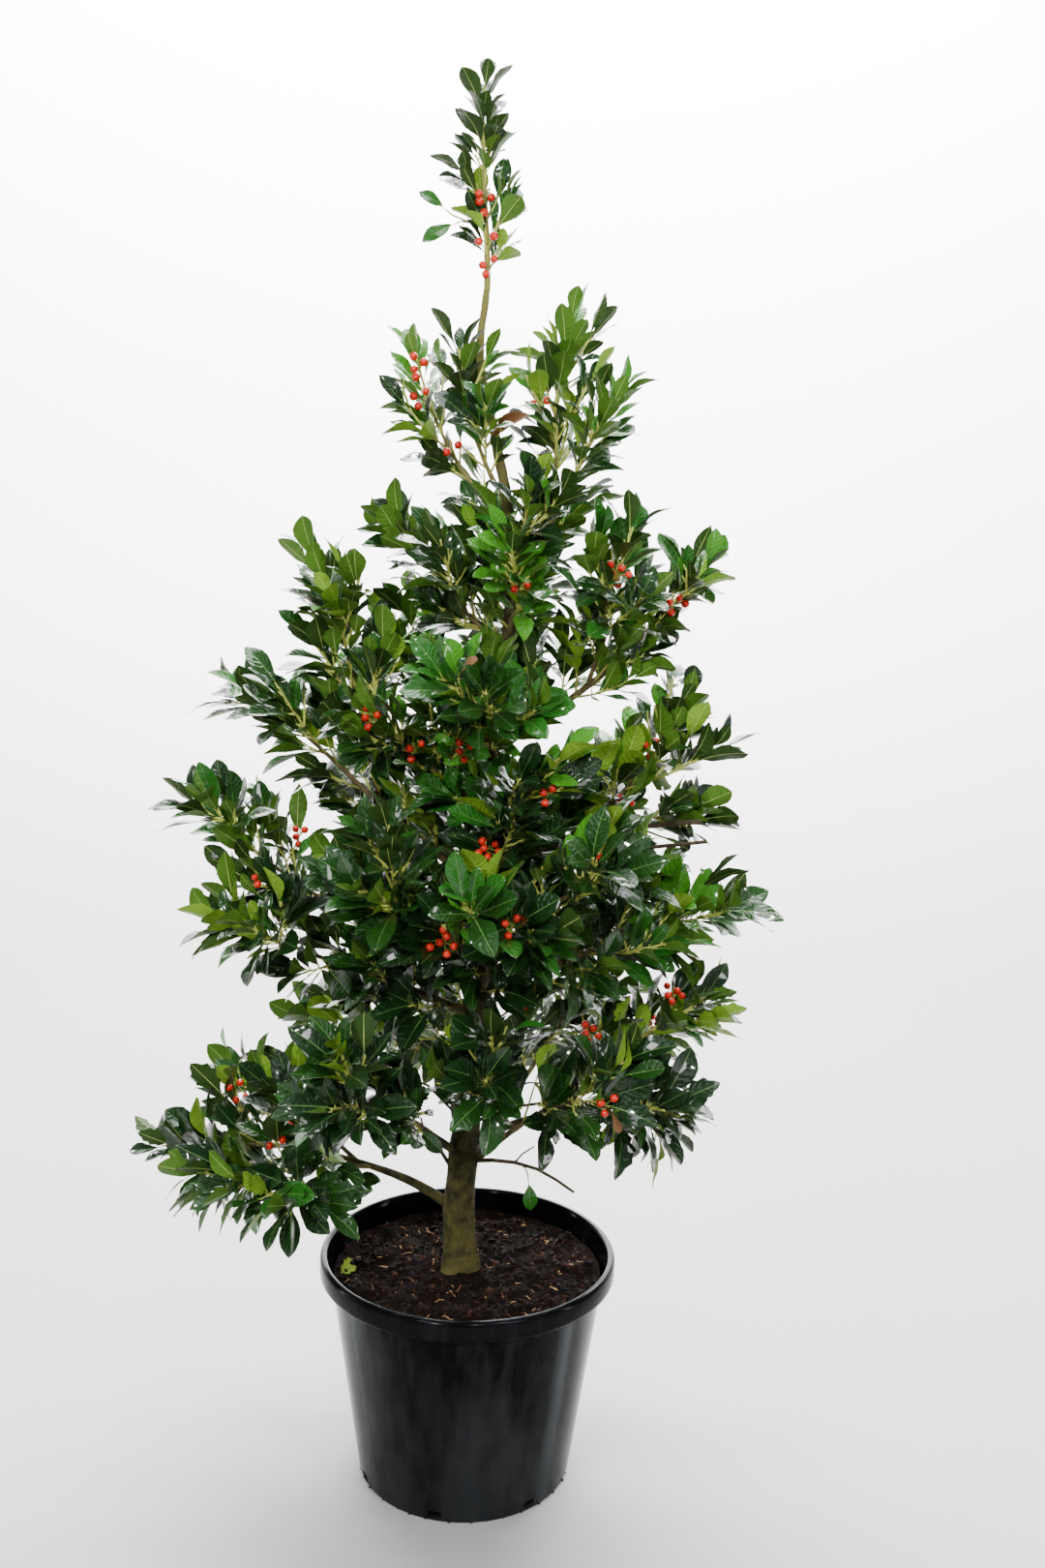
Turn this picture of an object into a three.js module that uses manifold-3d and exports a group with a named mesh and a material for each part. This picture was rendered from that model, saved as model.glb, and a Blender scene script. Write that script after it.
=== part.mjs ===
// A young holly grown in a nursery pot: a trunk with one leader, boughs all round it, and masses of
// leafy shoots with berries. Millimetres, +Z up. The origin is the centre of the pot's flat underside,
// +X is the crown's right and +Y its back.
import * as THREE from "three";
import { mergeVertices } from "three/addons/utils/BufferGeometryUtils.js";
import Module from "manifold-3d";

const { Vector3 } = THREE;
const wasm = await Module();
wasm.setup();

// ---------------------------------------------------------------- driving dimensions

const GAP = 0.3; // between two pieces that meet
const UP = new Vector3(0, 0, 1);
const GOLDEN_ANGLE = 137.5; // degrees between one shoot or leaf and the next round their stem
const SEED = 53;

const POT = {
  height: 320,
  footRadius: 147, // outside, at the underside
  neckRadius: 189, // outside, under the collar
  collarRadius: 204,
  collarHeight: 29,
  collarDraft: 3, // how far the collar's lower edge is drawn in,
  draftHeight: 8, // over this height
  lipRound: 5,
  footRound: 2,
  wall: 3,
  floor: 4,
  segments: 32,
  notches: 7, // drain notches just over the foot
  notchWidth: 17,
  notchHeight: 9,
  notchSill: 6,
  notchDepth: 24,
  firstNotch: -154.3, // degrees
};
// Foliage stays out of a round space over and beside the pot.
const POT_SPACE = { over: 100, beside: 50 };

const SOIL = { level: 293, clear: 1 };

// Height, sideways and depthwise place, and radius of the trunk, from the cut at the soil to its tip.
const TRUNK = [
  { height: 293.3, x: -11, y: 0, radius: 27 },
  { height: 325, x: -12, y: 0, radius: 23.5 },
  { height: 391, x: -13, y: -1, radius: 21 },
  { height: 574, x: 0, y: -3, radius: 18 },
  { height: 724, x: 10, y: -2, radius: 15.5 },
  { height: 911, x: 19, y: 2, radius: 12.8 },
  { height: 1091, x: 30, y: 4, radius: 10.4 },
  { height: 1225, x: 40, y: 2, radius: 8.4 },
  { height: 1315, x: 35, y: -2, radius: 7.4 },
  { height: 1423, x: 14, y: -4, radius: 6.2 },
  { height: 1518, x: -7, y: -2, radius: 5.2 },
  { height: 1600, x: 0, y: 0, radius: 4.4 },
];
const TRUNK_RINGS = { sides: 9, count: 16, crowding: 1.2 }; // the rings lie closer near the foot

// Boughs. Each leaves the trunk at the height `from` and runs to a tip at `reach` from the pot's axis
// and `height` over the floor. Azimuths are in degrees, 0 to the right and 90 to the back; `leave` and
// `arrive` are the limb's slopes at its two ends. The bough is the first `share` of that run, and the
// mass of foliage grows on from there to the tip. Each fork is a second mass from the same bough.
const BOUGHS = [
  // the lowest tier
  { name: "low_left", from: 372, azimuth: 183, reach: 386, height: 470, leave: 42, arrive: -2,
    share: 0.46, fruit: 1,
    forks: [
      { name: "low_left_back", azimuth: 162, reach: 345, height: 522, arrive: 14, fruit: 1 },
      { name: "low_left_front", azimuth: 208, reach: 345, height: 474, arrive: -8 },
    ] },
  { name: "low_front_left", from: 455, azimuth: 236, reach: 275, height: 612, leave: 38, arrive: 12,
    share: 0.4 },
  { name: "low_front_right", from: 440, azimuth: 312, reach: 258, height: 612, leave: 36, arrive: 6,
    share: 0.4, fruit: 1,
    forks: [{ name: "low_front", azimuth: 276, reach: 238, height: 655, arrive: 16, fruit: 1 }] },
  { name: "low_right", from: 470, azimuth: 343, reach: 285, height: 556, leave: 34, arrive: -10,
    share: 0.42,
    forks: [{ name: "low_right_back", azimuth: 12, reach: 312, height: 640, arrive: 8 }] },
  { name: "low_back_right", from: 420, azimuth: 58, reach: 320, height: 590, leave: 38, arrive: 6,
    share: 0.45 },
  { name: "low_back", from: 460, azimuth: 104, reach: 320, height: 560, leave: 36, arrive: 0,
    share: 0.45,
    forks: [{ name: "low_back_left", azimuth: 133, reach: 320, height: 600, arrive: 10 }] },
  // the middle tier
  { name: "mid_left_low", from: 660, azimuth: 190, reach: 318, height: 795, leave: 22, arrive: 24,
    share: 0.46 },
  { name: "mid_left", from: 735, azimuth: 169, reach: 352, height: 905, leave: 16, arrive: 48,
    share: 0.46 },
  { name: "mid_front", from: 690, azimuth: 282, reach: 245, height: 850, leave: 38, arrive: 20,
    share: 0.38, fruit: 2,
    forks: [{ name: "mid_front_left", azimuth: 238, reach: 250, height: 880, arrive: 24 }] },
  { name: "mid_front_right", from: 730, azimuth: 314, reach: 255, height: 900, leave: 36, arrive: 20,
    share: 0.4, fruit: 1 },
  { name: "mid_right_low", from: 690, azimuth: 350, reach: 290, height: 825, leave: 24, arrive: 26,
    share: 0.42,
    forks: [{ name: "mid_right_back_low", azimuth: 28, reach: 300, height: 770, arrive: 12 }] },
  { name: "mid_right", from: 870, azimuth: 2, reach: 275, height: 945, leave: 18, arrive: 18,
    share: 0.5, fruit: 1,
    forks: [{ name: "mid_right_high", azimuth: 10, reach: 272, height: 1062, arrive: 64 }] },
  { name: "mid_back", from: 740, azimuth: 84, reach: 280, height: 905, leave: 34, arrive: 20,
    share: 0.4,
    forks: [{ name: "mid_back_right", azimuth: 50, reach: 280, height: 920, arrive: 24 }] },
  { name: "mid_back_left", from: 790, azimuth: 128, reach: 280, height: 930, leave: 34, arrive: 26,
    share: 0.4 },
  // the upper tier
  { name: "high_left", from: 830, azimuth: 176, reach: 290, height: 1078, leave: 34, arrive: 36,
    share: 0.5,
    forks: [{ name: "upper_left", azimuth: 190, reach: 208, height: 1246, arrive: 62, fruit: 1 }] },
  { name: "high_right", from: 1040, azimuth: 10, reach: 278, height: 1258, leave: 20, arrive: 58,
    share: 0.46, fruit: 1,
    forks: [{ name: "upper_right_front", azimuth: 336, reach: 200, height: 1300, arrive: 70, fruit: 1 }] },
  { name: "top_right", from: 1240, azimuth: 350, reach: 162, height: 1462, leave: 52, arrive: 58,
    share: 0.36,
    forks: [{ name: "top_right_back", azimuth: 16, reach: 112, height: 1568, arrive: 78 }] },
];

// Masses whose stem leaves the trunk itself.
const TRUNK_MASSES = [
  { name: "inner_front", from: 800, azimuth: 290, reach: 165, height: 1010, leave: 48, arrive: 34 },
  { name: "inner_left", from: 930, azimuth: 210, reach: 170, height: 1080, leave: 36, arrive: 30,
    fruit: 1 },
  { name: "crown_left", from: 1150, azimuth: 192, reach: 112, height: 1318, leave: 40, arrive: 56 },
  { name: "crown_front", from: 1170, azimuth: 302, reach: 110, height: 1350, leave: 44, arrive: 56,
    fruit: 1 },
  { name: "high_front", from: 1000, azimuth: 274, reach: 205, height: 1120, leave: 38, arrive: 26 },
  { name: "high_back", from: 980, azimuth: 80, reach: 210, height: 1150, leave: 38, arrive: 30 },
  { name: "high_back_left", from: 1020, azimuth: 134, reach: 200, height: 1160, leave: 36,
    arrive: 34 },
  { name: "crown_back", from: 1150, azimuth: 80, reach: 120, height: 1320, leave: 44, arrive: 50 },
  { name: "top_left", from: 1310, azimuth: 182, reach: 86, height: 1512, leave: 40, arrive: 74,
    fruit: 1 },
  { name: "top_left_front", from: 1345, azimuth: 222, reach: 44, height: 1525, leave: 46, arrive: 80,
    fruit: 1 },
];
const LEADER = { name: "leader", from: 1600, lean: -9, height: 1812, fruit: 1 };

const LIMB = {
  footRadius: 4.2, // of a bough where it leaves the trunk,
  radiusByReach: 0.00975, // with this much of its reach added,
  mostOfTrunk: 0.72, // up to this share of the trunk's radius there
  splitRadius: 3.7, // where a bough ends and its mass's stem begins
  forkRadius: 3.2,
  sideRadius: 3.4, // of a stem that leaves the trunk
  leaderRadius: 4.2,
  tipRadius: 1.7,
  sides: 5,
  rings: 5,
  handle: 0.36, // how long a curve keeps its end's direction, by the curve's length
  wobble: 5,
  forkBefore: 20, // how far before a bough's tip its fork leaves it
  forkAlong: 0.15, // how much a fork still follows its bough, and rises
  forkRise: 0.1,
  stemStep: 45, // between the rings of a mass's stem
  stemSteps: 3, // at least
};
const TWIG_SIDES = 3;
const THREE_SIDED = 1.5; // how much further out a three-sided twig's corners lie, to look as thick

const SHOOT = {
  spacing: 68, // along a stem
  from: 0.16, // shares of the stem between which shoots leave it
  to: 0.86,
  stagger: 0.6, // of the spacing, by chance
  length: 104, // of the first shoot on a stem
  shortening: 0.35, // lost towards the stem's tip
  least: 0.8, // of that length, and most, by chance
  most: 1.15,
  opening: 52, // degrees from the stem
  openingChance: 16,
  overShare: 0.7, // how far the shoots spread above and below their stem, against beside it
  overRise: 0.12,
  footRadius: 1.1,
  radius: 1.8,
  tipRadius: 1.3,
  fullStem: 190, // a stem shorter than this bears shorter shoots
  lift: 0.2, // how far a shoot curves up, by its length
  lowLift: -0.02, // the same on the lowest tier
  liftFrom: 480, // heights between which the lift grows
  liftTo: 900,
  shortest: 24,
  cutBack: 0.82, // how much of a shoot is left each time it is found too long for its space
  tested: [0.35, 0.5, 0.65, 0.8, 1], // shares of a shoot that are kept in its space
  sunk: 1.8, // how far a shoot's foot is sunk in its stem
  steps: 2,
};

const LEAF = {
  perShoot: 3.5,
  stemFrom: 0.62, // of a stem's length, where its own leaves begin
  from: 0.42, // shares of a shoot between which its leaves sit
  to: 0.97,
  length: 114,
  smallFrom: 1050, // over this height leaves get smaller,
  smallTo: 1560, // down to `small` of the length here
  small: 0.56,
  tipSize: 0.88, // of a leaf at the shoot's tip, against one at its foot
  least: 0.86, // of that length, and most, by chance
  most: 1.08,
  width: 0.54, // by the length
  widestAt: 0.52,
  thickness: 0.021, // by the length
  keel: 0.07, // how far the midrib lies below the edges, by the length
  keelAt: 0.5,
  channel: 0.028, // how deep the upper face is along its midrib
  channelAt: 0.6,
  recurve: 0.06, // how far the tip bends back
  sunk: 1.3, // how far a leaf's root is sunk in its twig
  outward: 0.85, // how far a leaf's face turns away from the trunk, against up
  upward: 0.75,
  spreadLow: 66, // degrees from the shoot at its foot, and at its tip
  spreadTip: 30,
  spreadChance: 14,
  overShare: 0.8, // how far leaves spread above and below their shoot, against beside it
  upright: 0.7, // share of that spread on a shoot that stands straight up
  margin: 8, // how much nearer a leaf is to its own stem than to the next mass's
  limbMargin: 6,
  apart: 8, // between the leaves of one mass
  twigApart: 4,
  attempts: 4, // turns that a leaf is tried at, this many degrees apart
  attemptTurn: 77,
};
// Points over a leaf's blade that are kept clear of other things: shares of its length, and of its
// half width beside them.
const BLADE_POINTS = [
  [0.4, 0], [0.64, 0], [0.84, 0],
  [0.3, 0.55], [0.3, -0.55], [0.52, 1], [0.52, -1], [0.76, 0.5], [0.76, -0.5],
];
const BLADE_OVER = 0.05; // how much longer a blade is taken when it is tested against another
const BLADE_WIDER = 1.15;

const BERRY = { radius: 5.2, from: 0.45, to: 0.85 };

// ---------------------------------------------------------------- numbers and curves

const radians = (degrees) => (degrees * Math.PI) / 180;
const mix = (a, b, share) => a + (b - a) * share;
const clamp = (value, low, high) => Math.min(Math.max(value, low), high);

// A stream of even random numbers from 0 to 1 that depends on its keys alone.
function stream(...keys) {
  let state = SEED;
  for (const key of keys) {
    state = Math.imul(state ^ (key + 0x7f4a7c15), 0x85ebca6b) >>> 0;
    state = (state ^ (state >>> 13)) >>> 0;
  }
  return () => {
    state = (state + 0x6d2b79f5) >>> 0;
    let mixed = Math.imul(state ^ (state >>> 15), state | 1);
    mixed ^= mixed + Math.imul(mixed ^ (mixed >>> 7), mixed | 61);
    return ((mixed ^ (mixed >>> 14)) >>> 0) / 4294967296;
  };
}
// What each stream is for.
const [FOR_BOUGH, FOR_SIDE, FOR_SHOOTS, FOR_STEM, FOR_SHOOT, FOR_BERRIES] = [1, 2, 3, 4, 5, 6];

// The point at `reach` from the pot's axis, in the direction `azimuth`.
function around(azimuth, reach, height) {
  const angle = radians(azimuth);
  return new Vector3(reach * Math.cos(angle), reach * Math.sin(angle), height);
}

// A unit vector in the vertical plane of `azimuth`, `slope` degrees above the level.
function heading(azimuth, slope) {
  return around(azimuth, Math.cos(radians(slope)), Math.sin(radians(slope)));
}

// The direction at an angle round `ahead`: 0 is level, and a right angle is over it.
function sideways(ahead, roll, overShare, overRise = 0) {
  const level = new Vector3().crossVectors(ahead, UP).normalize();
  const over = new Vector3().crossVectors(level, ahead);
  return level.multiplyScalar(Math.cos(roll)).addScaledVector(over, overShare * Math.sin(roll) + overRise);
}

// The unit vector that opens from `ahead` by an angle, towards `side`.
function opened(ahead, side, angle) {
  return ahead.clone().multiplyScalar(Math.cos(angle)).addScaledVector(side, Math.sin(angle)).normalize();
}

// The trunk's middle and radius at a height, by a smooth curve through its stations.
function trunkAt(height) {
  let i = 0;
  while (i < TRUNK.length - 2 && height > TRUNK[i + 1].height) i++;
  const before = TRUNK[Math.max(i - 1, 0)];
  const a = TRUNK[i];
  const b = TRUNK[i + 1];
  const after = TRUNK[Math.min(i + 2, TRUNK.length - 1)];
  const span = b.height - a.height;
  const u = (height - a.height) / span;
  const smooth = (key) => {
    const slopeA = (b[key] - before[key]) / (b.height - before.height);
    const slopeB = (after[key] - a[key]) / (after.height - a.height);
    return (
      (2 * u ** 3 - 3 * u ** 2 + 1) * a[key] +
      (u ** 3 - 2 * u ** 2 + u) * span * slopeA +
      (3 * u ** 2 - 2 * u ** 3) * b[key] +
      (u ** 3 - u ** 2) * span * slopeB
    );
  };
  return { middle: new Vector3(smooth("x"), smooth("y"), height), radius: smooth("radius") };
}

// A limb's run: a curve that leaves `start` and arrives at `end` in the given directions, with a slight
// sideways wander between its ends.
function run(start, leaving, end, arriving, wander) {
  const length = start.distanceTo(end);
  const curve = new THREE.CubicBezierCurve3(
    start,
    start.clone().addScaledVector(leaving, length * LIMB.handle),
    end.clone().addScaledVector(arriving, -length * LIMB.handle),
    end,
  );
  const side = new Vector3().crossVectors(end.clone().sub(start), UP).normalize();
  const at = (t) => {
    const away = LIMB.wobble * 4 * t * (1 - t) * Math.sin(3 * Math.PI * t + wander);
    return curve.getPoint(clamp(t, 0, 1)).addScaledVector(side, away);
  };
  const slopeAt = (t) => at(Math.min(t + 0.01, 1)).sub(at(Math.max(t - 0.01, 0))).normalize();
  return { at, slopeAt, length };
}

// How far a point is from a chain of points, and the chain's radius there.
function nearest(point, chain, radii) {
  let best = Infinity;
  let thickness = 0;
  for (let i = 0; i + 1 < chain.length; i++) {
    const ab = chain[i + 1].clone().sub(chain[i]);
    const ap = point.clone().sub(chain[i]);
    const t = clamp(ap.dot(ab) / ab.lengthSq(), 0, 1);
    const distance = ap.addScaledVector(ab, -t).length();
    if (distance >= best) continue;
    best = distance;
    if (radii) thickness = mix(radii[i], radii[i + 1], t);
  }
  return { distance: best, thickness };
}

// ---------------------------------------------------------------- solids

const WELD = 1e-4; // corners closer than this are one
const SMOOTHING = 0.02; // edges of a fused mass shorter than this are taken out

// A closed three.js geometry as a manifold-3d solid, and back.
function solidOf(geometry) {
  const bare = geometry.clone();
  bare.deleteAttribute("normal");
  bare.deleteAttribute("uv");
  const merged = mergeVertices(bare, WELD);
  return new wasm.Manifold(
    new wasm.Mesh({
      numProp: 3,
      vertProperties: merged.attributes.position.array,
      triVerts: new Uint32Array(merged.index.array),
    }),
  );
}

function geometryOf(solid) {
  const mesh = solid.getMesh();
  const geometry = new THREE.BufferGeometry();
  const positions = new Float32Array(mesh.numVert * 3);
  for (let i = 0; i < mesh.numVert; i++) {
    positions.set(mesh.vertProperties.subarray(i * mesh.numProp, i * mesh.numProp + 3), i * 3);
  }
  geometry.setAttribute("position", new THREE.BufferAttribute(positions, 3));
  geometry.setIndex(new THREE.BufferAttribute(mesh.triVerts, 1));
  return geometry.toNonIndexed();
}

// A solid from its corners and its faces, given as corner numbers anticlockwise from outside.
function solidFrom(corners, faces) {
  return new wasm.Manifold(
    new wasm.Mesh({
      numProp: 3,
      vertProperties: new Float32Array(corners.flatMap((c) => [c.x, c.y, c.z])),
      triVerts: new Uint32Array(faces.flat()),
    }),
  );
}

// Two unit vectors across a limb at each of its rings, turned as little as possible on the way.
function framesOf(slopes) {
  let across = Math.abs(slopes[0].x) > 0.9 ? new Vector3(0, 1, 0) : new Vector3(1, 0, 0);
  return slopes.map((ahead) => {
    across = across.clone().addScaledVector(ahead, -across.dot(ahead)).normalize();
    return { across, third: new Vector3().crossVectors(ahead, across) };
  });
}

// The point at an angle round a chain's ring, at a distance from its middle.
function roundRing(point, { across, third }, angle, distance) {
  const offset = across.clone().multiplyScalar(Math.cos(angle)).addScaledVector(third, Math.sin(angle));
  return point.clone().addScaledVector(offset, distance);
}

// A round limb along its rings, with flat ends square to it. It is thicker by `extra`.
function limbSolid({ points, slopes, radii }, sides, extra = 0) {
  const frames = framesOf(slopes);
  const corners = points.flatMap((point, ring) =>
    Array.from({ length: sides }, (_, side) =>
      roundRing(point, frames[ring], (side / sides) * 2 * Math.PI, radii[ring] + extra)),
  );
  const faces = [];
  const rings = points.length;
  for (let ring = 0; ring + 1 < rings; ring++) {
    for (let side = 0; side < sides; side++) {
      const a = ring * sides + side;
      const b = ring * sides + ((side + 1) % sides);
      faces.push([a, b, b + sides], [a, b + sides, a + sides]);
    }
  }
  for (let side = 1; side + 1 < sides; side++) {
    const last = (rings - 1) * sides;
    faces.push([0, side + 1, side], [last, last + side, last + side + 1]);
  }
  return solidFrom(corners, faces);
}

// The middle of the side of a three-sided twig that faces `outward` most, at a share of its length.
function onSide({ points, slopes, radii }, share, outward) {
  const frames = framesOf(slopes);
  const place = clamp(share, 0, 1) * (points.length - 1);
  const ring = Math.min(Math.floor(place), points.length - 2);
  const toSide = Math.cos(Math.PI / TWIG_SIDES);
  const middles = Array.from({ length: TWIG_SIDES }, (_, side) => {
    const angle = ((2 * side + 1) * Math.PI) / TWIG_SIDES;
    const [from, to] = [ring, ring + 1].map((i) =>
      roundRing(points[i], frames[i], angle, radii[i] * toSide),
    );
    return from.lerp(to, place - ring);
  });
  return middles.reduce((a, b) => (b.dot(outward) > a.dot(outward) ? b : a));
}

// A leaf: a thin keeled blade of eight faces, three of which meet at its root.
function leafSolid({ root, ahead, face, length }) {
  const across = new Vector3().crossVectors(face, ahead).normalize();
  const at = (along, beside, over) =>
    root
      .clone()
      .addScaledVector(ahead, along * length)
      .addScaledVector(across, beside * length)
      .addScaledVector(face, over * length);
  const half = LEAF.thickness / 2;
  const corners = [
    at(0, 0, 0),
    at(1, 0, -LEAF.recurve),
    at(LEAF.widestAt, LEAF.width / 2, half),
    at(LEAF.widestAt, -LEAF.width / 2, half),
    at(LEAF.channelAt, 0, half - LEAF.channel),
    at(LEAF.keelAt, 0, -half - LEAF.keel),
  ];
  const faces = [
    [0, 3, 2], [3, 4, 2], [3, 1, 4], [1, 2, 4],
    [3, 0, 5], [1, 3, 5], [2, 1, 5], [0, 2, 5],
  ];
  return solidFrom(corners, faces);
}

// The largest body of a solid, with loose scraps and sealed hollows left out.
function largestOf(solid) {
  return solid.decompose().reduce((a, b) => (b.volume() > a.volume() ? b : a));
}

// ---------------------------------------------------------------- limbs

// Every limb that foliage keeps clear of, as a chain of points with radii.
const limbs = [];
// Every mass of foliage: its stem as a run, the limb it grows on from, and its fruit.
const masses = [];

function addTrunk() {
  const foot = TRUNK[0].height;
  const tip = TRUNK[TRUNK.length - 1].height;
  const rings = { points: [], slopes: [], radii: [] };
  for (let i = 0; i <= TRUNK_RINGS.count; i++) {
    const height = mix(foot, tip, (i / TRUNK_RINGS.count) ** TRUNK_RINGS.crowding);
    const { middle, radius } = trunkAt(height);
    const slope = trunkAt(height + 1).middle.sub(trunkAt(height - 1).middle).normalize();
    rings.points.push(middle);
    rings.slopes.push(i === 0 ? UP : slope);
    rings.radii.push(radius);
  }
  limbs.push({ name: "trunk", ...rings, sides: TRUNK_RINGS.sides });
}

// The rings of a limb along part of a run, in even steps.
function ringsOf(whole, from, to, steps, radiusFrom, radiusTo) {
  const rings = { points: [], slopes: [], radii: [] };
  for (let i = 0; i <= steps; i++) {
    const t = mix(from, to, i / steps);
    rings.points.push(whole.at(t));
    rings.slopes.push(whole.slopeAt(t));
    rings.radii.push(mix(radiusFrom, radiusTo, i / steps));
  }
  return rings;
}

// A mass whose stem is the rest of a run, `from` its parent limb's tip or side onward.
function addMass(spec, whole, from, parent) {
  const gap = parent.meets === "tip" ? GAP / whole.length : 0;
  const length = whole.length * (1 - from);
  const steps = Math.max(LIMB.stemSteps, Math.round(length / LIMB.stemStep));
  const foot = parent.radius * THREE_SIDED;
  const stem = ringsOf(whole, from + gap, 1, steps, foot, LIMB.tipRadius * THREE_SIDED);
  masses.push({ ...spec, whole, from, parent, length, stem });
}

// The run from the trunk to a bough's or a side stem's tip.
function runFromTrunk(spec, random) {
  const start = trunkAt(spec.from).middle;
  const end = around(spec.azimuth, spec.reach, spec.height);
  const azimuth = (Math.atan2(end.y - start.y, end.x - start.x) * 180) / Math.PI;
  const wander = 2 * Math.PI * random();
  return run(start, heading(azimuth, spec.leave), end, heading(azimuth, spec.arrive), wander);
}

function addBough(spec, number) {
  const random = stream(FOR_BOUGH, number);
  const whole = runFromTrunk(spec, random);
  const most = trunkAt(spec.from).radius * LIMB.mostOfTrunk;
  const foot = Math.min(LIMB.footRadius + spec.reach * LIMB.radiusByReach, most);
  const rings = ringsOf(whole, 0, spec.share, LIMB.rings, foot, LIMB.splitRadius);
  const limb = { name: `bough_${spec.name}`, ...rings, sides: LIMB.sides };
  limbs.push(limb);
  addMass(spec, whole, spec.share, { limb, meets: "tip", radius: LIMB.splitRadius });
  for (const [i, fork] of (spec.forks ?? []).entries()) {
    const at = spec.share - (LIMB.forkBefore * (i + 1)) / whole.length;
    const start = whole.at(at);
    const end = around(fork.azimuth, fork.reach, fork.height);
    const away = end.clone().sub(start).normalize();
    const leaving = away.addScaledVector(whole.slopeAt(at), LIMB.forkAlong);
    leaving.addScaledVector(UP, LIMB.forkRise).normalize();
    const branch = run(start, leaving, end, heading(fork.azimuth, fork.arrive), 2 * Math.PI * random());
    addMass(fork, branch, 0, { limb, meets: "side", radius: LIMB.forkRadius });
  }
}

function addTrunkMass(spec, number) {
  const whole = runFromTrunk(spec, stream(FOR_SIDE, number));
  addMass(spec, whole, 0, { limb: limbs[0], meets: "side", radius: LIMB.sideRadius });
}

function addLeader() {
  const end = new Vector3(LEADER.lean, 0, LEADER.height);
  const whole = run(trunkAt(LEADER.from).middle, UP, end, UP, 0);
  addMass(LEADER, whole, 0, { limb: limbs[0], meets: "tip", radius: LIMB.leaderRadius });
}

addTrunk();
BOUGHS.forEach(addBough);
TRUNK_MASSES.forEach(addTrunkMass);
addLeader();

// ---------------------------------------------------------------- foliage

// True if a point lies in the mass's own space, nearer to its stem than to any other mass's stem, and
// clear of the pot and of every limb.
function isFree(point, mass) {
  const besidePot = Math.hypot(point.x, point.y) < POT.collarRadius + POT_SPACE.beside;
  if (besidePot && point.z < POT.height + POT_SPACE.over) return false;
  for (const limb of limbs) {
    const { distance, thickness } = nearest(point, limb.points, limb.radii);
    if (distance < thickness + LEAF.limbMargin) return false;
  }
  const own = nearest(point, mass.stem.points).distance + LEAF.margin;
  return masses.every((other) => other === mass || nearest(point, other.stem.points).distance > own);
}

// Points all over a leaf's blade, its four facets and its rims, for keeping it clear of other things.
function bladeOf({ root, ahead, face, length }) {
  const across = new Vector3().crossVectors(face, ahead);
  const half = LEAF.width / 2;
  const at = (along, beside) =>
    root.clone().addScaledVector(ahead, along * length).addScaledVector(across, beside * half * length);
  const points = BLADE_POINTS.map(([along, beside]) => at(along, beside));
  const foot = at(BLADE_OVER, 0);
  const tip = at(1 + BLADE_OVER, 0).addScaledVector(face, -LEAF.recurve * length);
  const left = at(LEAF.widestAt, BLADE_WIDER);
  const right = at(LEAF.widestAt, -BLADE_WIDER);
  const keel = at(LEAF.widestAt, 0).addScaledVector(face, -LEAF.keel * length);
  const facets = [[foot, left, keel], [foot, keel, right], [tip, left, keel], [tip, keel, right]];
  const rims = [[foot, left], [left, tip], [tip, right], [right, foot], [foot, keel], [keel, tip]];
  return { points: [...points, tip], facets, rims };
}

const ray = new THREE.Ray();
const hit = new Vector3();

// True if the line from `a` to `b` goes through the triangle.
function goesThrough([a, b], [p, q, r]) {
  ray.origin.copy(a);
  ray.direction.copy(b).sub(a).normalize();
  return ray.intersectTriangle(p, q, r, false, hit) !== null && a.distanceTo(hit) < a.distanceTo(b);
}

function crosses(lines, triangles) {
  return lines.some((line) => triangles.some((triangle) => goesThrough(line, triangle)));
}

// True if a blade keeps clear of the mass's other leaves and of its other twigs.
function isApart(blade, taken, twigs) {
  for (const other of taken) {
    const near = (p) => other.points.some((q) => p.distanceTo(q) < LEAF.apart);
    if (blade.points.some(near)) return false;
    if (crosses(blade.rims, other.facets) || crosses(other.rims, blade.facets)) return false;
  }
  for (const { points, radii } of twigs) {
    if (blade.points.some((p) => nearest(p, points, radii).distance < LEAF.twigApart)) return false;
    const lines = points.slice(1).map((point, i) => [points[i], point]);
    if (crosses(lines, blade.facets)) return false;
  }
  return true;
}

function leafLength(height) {
  const share = clamp((height - LEAF.smallFrom) / (LEAF.smallTo - LEAF.smallFrom), 0, 1);
  return LEAF.length * mix(1, LEAF.small, share);
}

// How much narrower shoots and leaves open round a stem that stands upright.
const openingOn = (ahead) => mix(1, LEAF.upright, clamp(ahead.z, 0, 1));

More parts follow.
